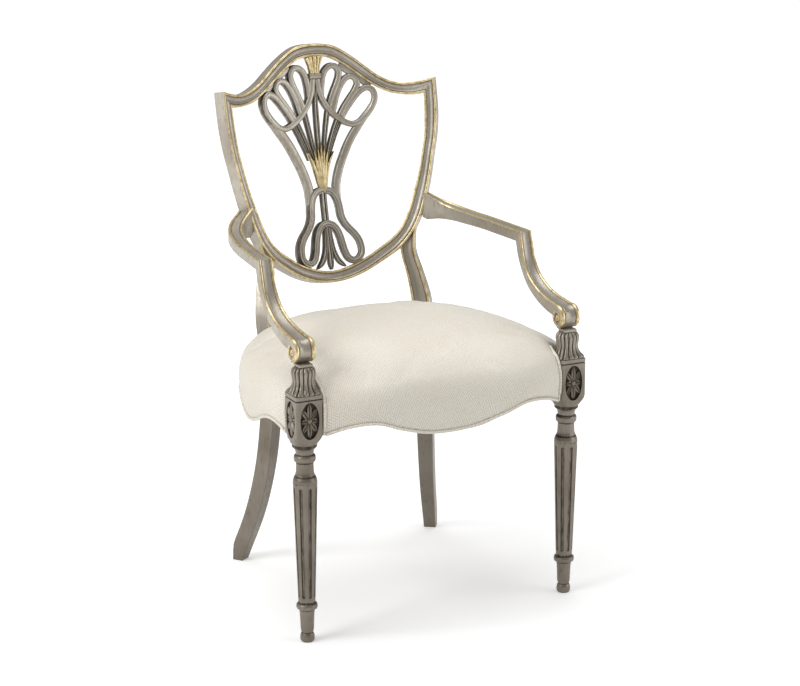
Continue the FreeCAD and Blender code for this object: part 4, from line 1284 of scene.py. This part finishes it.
cloth_settings = {
    "quality": 5,
    "mass": 0.35,
    "tension_stiffness": 18,
    "compression_stiffness": 18,
    "shear_stiffness": 8,
    "bending_stiffness": 6,
    "use_pressure": True,
    "uniform_pressure_force": 4.0,
    "vertex_group_mass": "held",
    "pin_stiffness": 1.0,
}


def stuff(made):
    """Remeshes the cover and lets a cloth simulation fill its crown, held lower down."""
    change = made.modifiers.new("remesh", "REMESH")
    change.mode = "VOXEL"
    change.voxel_size = 0.0045
    graph = bpy.context.evaluated_depsgraph_get()
    made.data = bpy.data.meshes.new_from_object(made.evaluated_get(graph))
    made.modifiers.clear()
    start = [v.co.copy() for v in made.data.vertices]
    held = made.vertex_groups.new(name="held")
    for index, spot in enumerate(start):
        z = spot.z / MM
        share = min(1.0, (z - loose_from) / loose_span)
        held.add([index], 1.0 if z < held_to else 1.0 - share * share, "REPLACE")
    filling = made.modifiers.new("filling", "CLOTH")
    for key, value in cloth_settings.items():
        setattr(filling.settings, key, value)
    filling.settings.effector_weights.gravity = 0.0
    scene = bpy.context.scene
    for number in range(1, 21):
        scene.frame_set(number)
    graph = bpy.context.evaluated_depsgraph_get()
    swollen = [v.co.copy() for v in made.evaluated_get(graph).data.vertices]
    made.modifiers.clear()
    scene.frame_set(1)
    cap = 0.006
    for vertex, old, new in zip(made.data.vertices, start, swollen):
        move = new - old
        if move.length > cap:
            move *= cap / move.length
        vertex.co = old + move
    made.vertex_groups.clear()


def finish_seat(made):
    """Settles the cover's surface, lays the cloth's own coordinates and shades its edges."""
    mesh = made.data
    work = bmesh.new()
    work.from_mesh(mesh)
    every_way = {"use_axis_x": True, "use_axis_y": True, "use_axis_z": True}
    for _ in range(4):
        soft = [v for v in work.verts if v.co.z > 0.43]
        bmesh.ops.smooth_vert(work, verts=soft, factor=0.5, **every_way)
    layer = work.loops.layers.uv.new("cloth")
    for face in work.faces:
        face.smooth = True
        for loop in face.loops:
            x, y, z = measured(loop.vert.co)
            reach = max(math.hypot(x, y - seat_middle), 1.0)
            fall = (seat_crown - z) * 0.85 * min(1.0, reach / 160.0)
            loop[layer].uv = ((x + x / reach * fall) * MM, (y + (y - seat_middle) / reach * fall) * MM)
    # Painted shade: the cloth is darkened over the 5 mm above the piping along the lower edge.
    tint = work.verts.layers.float.get("glaze_and_shade") or work.verts.layers.float.new("glaze_and_shade")
    for vert in work.verts:
        x, y, z = measured(vert.co)
        low = wave_height(x, y) + welt_radius
        vert[tint] = min(1.0, max(0.0, 1 - (z - low) / 5.0))
    work.to_mesh(mesh)
    work.free()
    mesh.materials.clear()
    mesh.materials.append(cloth)
    mesh.polygons.foreach_set("material_index", [0] * len(mesh.polygons))
    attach(made, "root")
    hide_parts("seat_cover", "seat_foam")


def welt_paths():
    """Runs of the self piping along the lower edge and up beside the leg blocks."""
    ring = outline_ring(420)
    low = []
    for x, y in ring:
        z = wave_height(x, y) + welt_radius
        low.append((*shrunk([(x, y)], cover_share(z), -0.6)[0], z))
    edge = leg_x - half_block - welt_radius - 0.2
    front = sorted(p for p in low if p[1] < half_block and abs(p[0]) < edge)
    right = [p for p in low if p[0] > 0 and p[1] > half_block + welt_radius + 0.2]
    right = [p for p in right if p[0] > post_outside or p[1] < post_line]
    right.sort(key=lambda p: p[1])
    back = sorted(p for p in low if p[1] > post_line and abs(p[0]) < post_inside)
    beside = []
    for k in range(16):
        z = blend(wave_height(edge, 0) + welt_radius, welt_top, k / 15)
        share = cover_share(z)
        nearest = min((abs(x - edge / share), y) for x, y in ring if y < half_block and x > 0)
        y = seat_middle + (nearest[1] - seat_middle) * share
        beside.append((edge, y - blend(0.8, 2.6, max(0.0, (z - 430) / 33)), z))
    for _ in range(5):
        x, y, z = beside[-1]
        beside.append((x, y + 5.0, z + 2.6))
    right_other, beside_other = ([(-x, y, z) for x, y, z in run] for run in (right, beside))
    return [front, right, right_other, back, beside, beside_other]


def welt_tree():
    """Geometry Nodes tree that lays a round cord along a path."""
    tree = bpy.data.node_groups.new("piping", "GeometryNodeTree")
    face = tree.interface
    face.new_socket("Geometry", in_out="INPUT", socket_type="NodeSocketGeometry")
    radius = face.new_socket("Cord radius", in_out="INPUT", socket_type="NodeSocketFloat")
    sides = face.new_socket("Cord sides", in_out="INPUT", socket_type="NodeSocketInt")
    finish = face.new_socket("Finish", in_out="INPUT", socket_type="NodeSocketMaterial")
    face.new_socket("Geometry", in_out="OUTPUT", socket_type="NodeSocketGeometry")
    nodes = tree.nodes
    start, end = nodes.new("NodeGroupInput"), nodes.new("NodeGroupOutput")
    path = nodes.new("GeometryNodeMeshToCurve")
    circle = nodes.new("GeometryNodeCurvePrimitiveCircle")
    sweep = nodes.new("GeometryNodeCurveToMesh")
    sweep.inputs["Fill Caps"].default_value = True
    smooth = nodes.new("GeometryNodeSetShadeSmooth")
    real = nodes.new("GeometryNodeRealizeInstances")
    look = nodes.new("GeometryNodeSetMaterial")
    wires = [
        (start.outputs[0], path.inputs["Mesh"]),
        (start.outputs[1], circle.inputs["Radius"]),
        (start.outputs[2], circle.inputs["Resolution"]),
        (path.outputs[0], sweep.inputs["Curve"]),
        (circle.outputs[0], sweep.inputs["Profile Curve"]),
        (sweep.outputs[0], smooth.inputs[0]),
        (smooth.outputs[0], real.inputs[0]),
        (real.outputs[0], look.inputs[0]),
        (start.outputs[3], look.inputs["Material"]),
        (look.outputs[0], end.inputs[0]),
    ]
    for source, target in wires:
        tree.links.new(source, target)
    return tree, {"radius": radius.identifier, "sides": sides.identifier, "finish": finish.identifier}


def piping():
    """Self piping of the seat."""
    tree, names = welt_tree()
    mesh = bpy.data.meshes.new("piping_path")
    points, edges = [], []
    for run in welt_paths():
        base = len(points)
        points += [place(*p) for p in run]
        edges += [(base + i, base + i + 1) for i in range(len(run) - 1)]
    mesh.from_pydata([tuple(p) for p in points], edges, [])
    path = put("piping_path", mesh)
    change = path.modifiers.new("cord", "NODES")
    change.node_group = tree
    change[names["radius"]] = welt_radius * MM
    change[names["sides"]] = 10
    change[names["finish"]] = cloth
    made = put("seat_piping", baked(path))
    layer = made.data.uv_layers.new(name="cloth")
    for loop, spot in zip(made.data.loops, layer.data):
        co = made.data.vertices[loop.vertex_index].co
        spot.uv = (co.x + co.y, co.z + co.y * 0.5)
    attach(made, "root")
    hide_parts("seat_welt")


def side_rail(side):
    """Beech side rail, planed to stay above the waved edge of the cover."""
    work = bmesh.new()
    work.from_mesh(frame["nodes"]["side_rail_" + side].data)
    bmesh.ops.remove_doubles(work, verts=work.verts, dist=1e-6)
    long = [edge for edge in work.edges if edge.calc_length() > 0.02]
    bmesh.ops.subdivide_edges(work, edges=long, cuts=3)
    for vert in work.verts:
        x, y, z = measured(vert.co)
        vert.co.z = max(z, wave_height(x, y) + welt_radius) * MM
    bmesh.ops.triangulate(work, faces=work.faces)
    mesh = bpy.data.meshes.new("side_rail_planed_" + side)
    work.to_mesh(mesh)
    work.free()
    made = put(mesh.name, mesh)
    mesh.materials.append(bpy.data.materials["planed_beech"])
    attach(made, "root")
    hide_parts("side_rail_" + side)


def dress_solids():
    """Finishes on the solids that stay."""
    looks = {
        "beech": beech(),
        "screw_steel": zinc_steel(),
        "webbing": jute_webbing(),
        "foam": cut_foam(),
        "dust_cloth": dust_cloth(),
    }
    for part in frame["record"]["subparts"]:
        look = looks.get(part["material_slot"])
        if look is None:
            continue
        solid = frame["nodes"][part["node"]]
        solid.data.materials.clear()
        solid.data.materials.append(look)


# Stage


def stage():
    """Pale floor that goes to white, and soft lamps."""
    floor_mesh = bpy.data.meshes.new("floor")
    reach = 14.0
    corners = [(-reach, -reach, 0), (reach, -reach, 0), (reach, reach, 0), (-reach, reach, 0)]
    floor_mesh.from_pydata(corners, [], [(0, 1, 2, 3)])
    floor = put("floor", floor_mesh)
    f = Finish("pale_floor")
    soft = f.noise(f.coordinates, 3.0, 2.0)
    f.finish(f.mix(soft, rgb(0.86, 0.86, 0.86), rgb(0.88, 0.88, 0.88)), 0.9)
    ray = f.node("ShaderNodeLightPath")
    seen = f.math("ADD", ray.outputs["Is Camera Ray"], ray.outputs["Is Glossy Ray"], True)
    f.shader.inputs["Emission Color"].default_value = rgb(1, 1, 1)
    apart = f.node("ShaderNodeVectorMath", operation="LENGTH")
    f.join(f.coordinates, apart.inputs[0])
    glow = f.span(apart.outputs["Value"], 0.5, 2.6, 0.37, 0.8)
    f.feed(f.shader.inputs["Emission Strength"], f.math("MULTIPLY", seen, glow))
    floor_mesh.materials.append(f.material)
    world = bpy.data.worlds.new("studio")
    bpy.context.scene.world = world
    world.use_nodes = True
    tree = world.node_tree
    back = tree.nodes["Background"]
    back.inputs["Color"].default_value = rgb(1, 1, 1)
    ray = tree.nodes.new("ShaderNodeLightPath")
    level = tree.nodes.new("ShaderNodeMapRange")
    level.inputs["To Min"].default_value = 0.34
    level.inputs["To Max"].default_value = 1.0
    tree.links.new(ray.outputs["Is Camera Ray"], level.inputs["Value"])
    tree.links.new(level.outputs[0], back.inputs["Strength"])
    lamp("key", (-3.3, -0.3, 2.6), 2.0, 84)
    lamp("fill", (2.9, -2.2, 1.3), 2.2, 34)
    lamp("top", (0.2, 0.4, 3.4), 2.4, 46)


def lamp(name, spot, size, power):
    """Square soft lamp aimed at the middle of the chair."""
    light = bpy.data.lights.new(name, "AREA")
    light.size = size
    light.energy = power
    made = put(name, light)
    made.location = spot
    aim = Vector((0, 0, 0.5)) - Vector(spot)
    made.rotation_euler = aim.to_track_quat("-Z", "Y").to_euler()


def camera():
    """Camera at the photograph's viewing angle."""
    lens = bpy.data.cameras.new("camera")
    lens.sensor_width = 36.0
    lens.lens = 97.10
    made = put("camera", lens)
    right = Vector((0.89472466, -0.44660222, -0.00377261))
    up = Vector((0.11703865, 0.22630712, 0.96699899))
    turn = Matrix((right, up, right.cross(up))).transposed()
    spot = Vector((-1.70441, leg_line - 3.26745, 1.48475))
    made.matrix_world = Matrix.Translation(spot) @ turn.to_4x4()
    bpy.context.scene.camera = made


frame_member("crest_rail_carved", mirrored_outline(crest_outline)).stand_for("crest_rail")
frame_member("lower_rail_carved", mirrored_outline(lower_outline)).stand_for("shield_lower_rail")
splat().stand_for("splat", sharp=50.0)
carvings = ((back_post, "back_post"), (arm, "arm"), (arm_support, "arm_support"), (front_leg, "front_leg"))
for make, node in carvings:
    right = make()
    left = right.mirrored(right.name.replace("_right_", "_left_"))
    right.stand_for(node + "_right")
    left.stand_for(node + "_left")
seat()
piping()
dress_solids()
side_rail("left")
side_rail("right")
stage()
camera()
bpy.context.scene.view_settings.view_transform = "Standard"
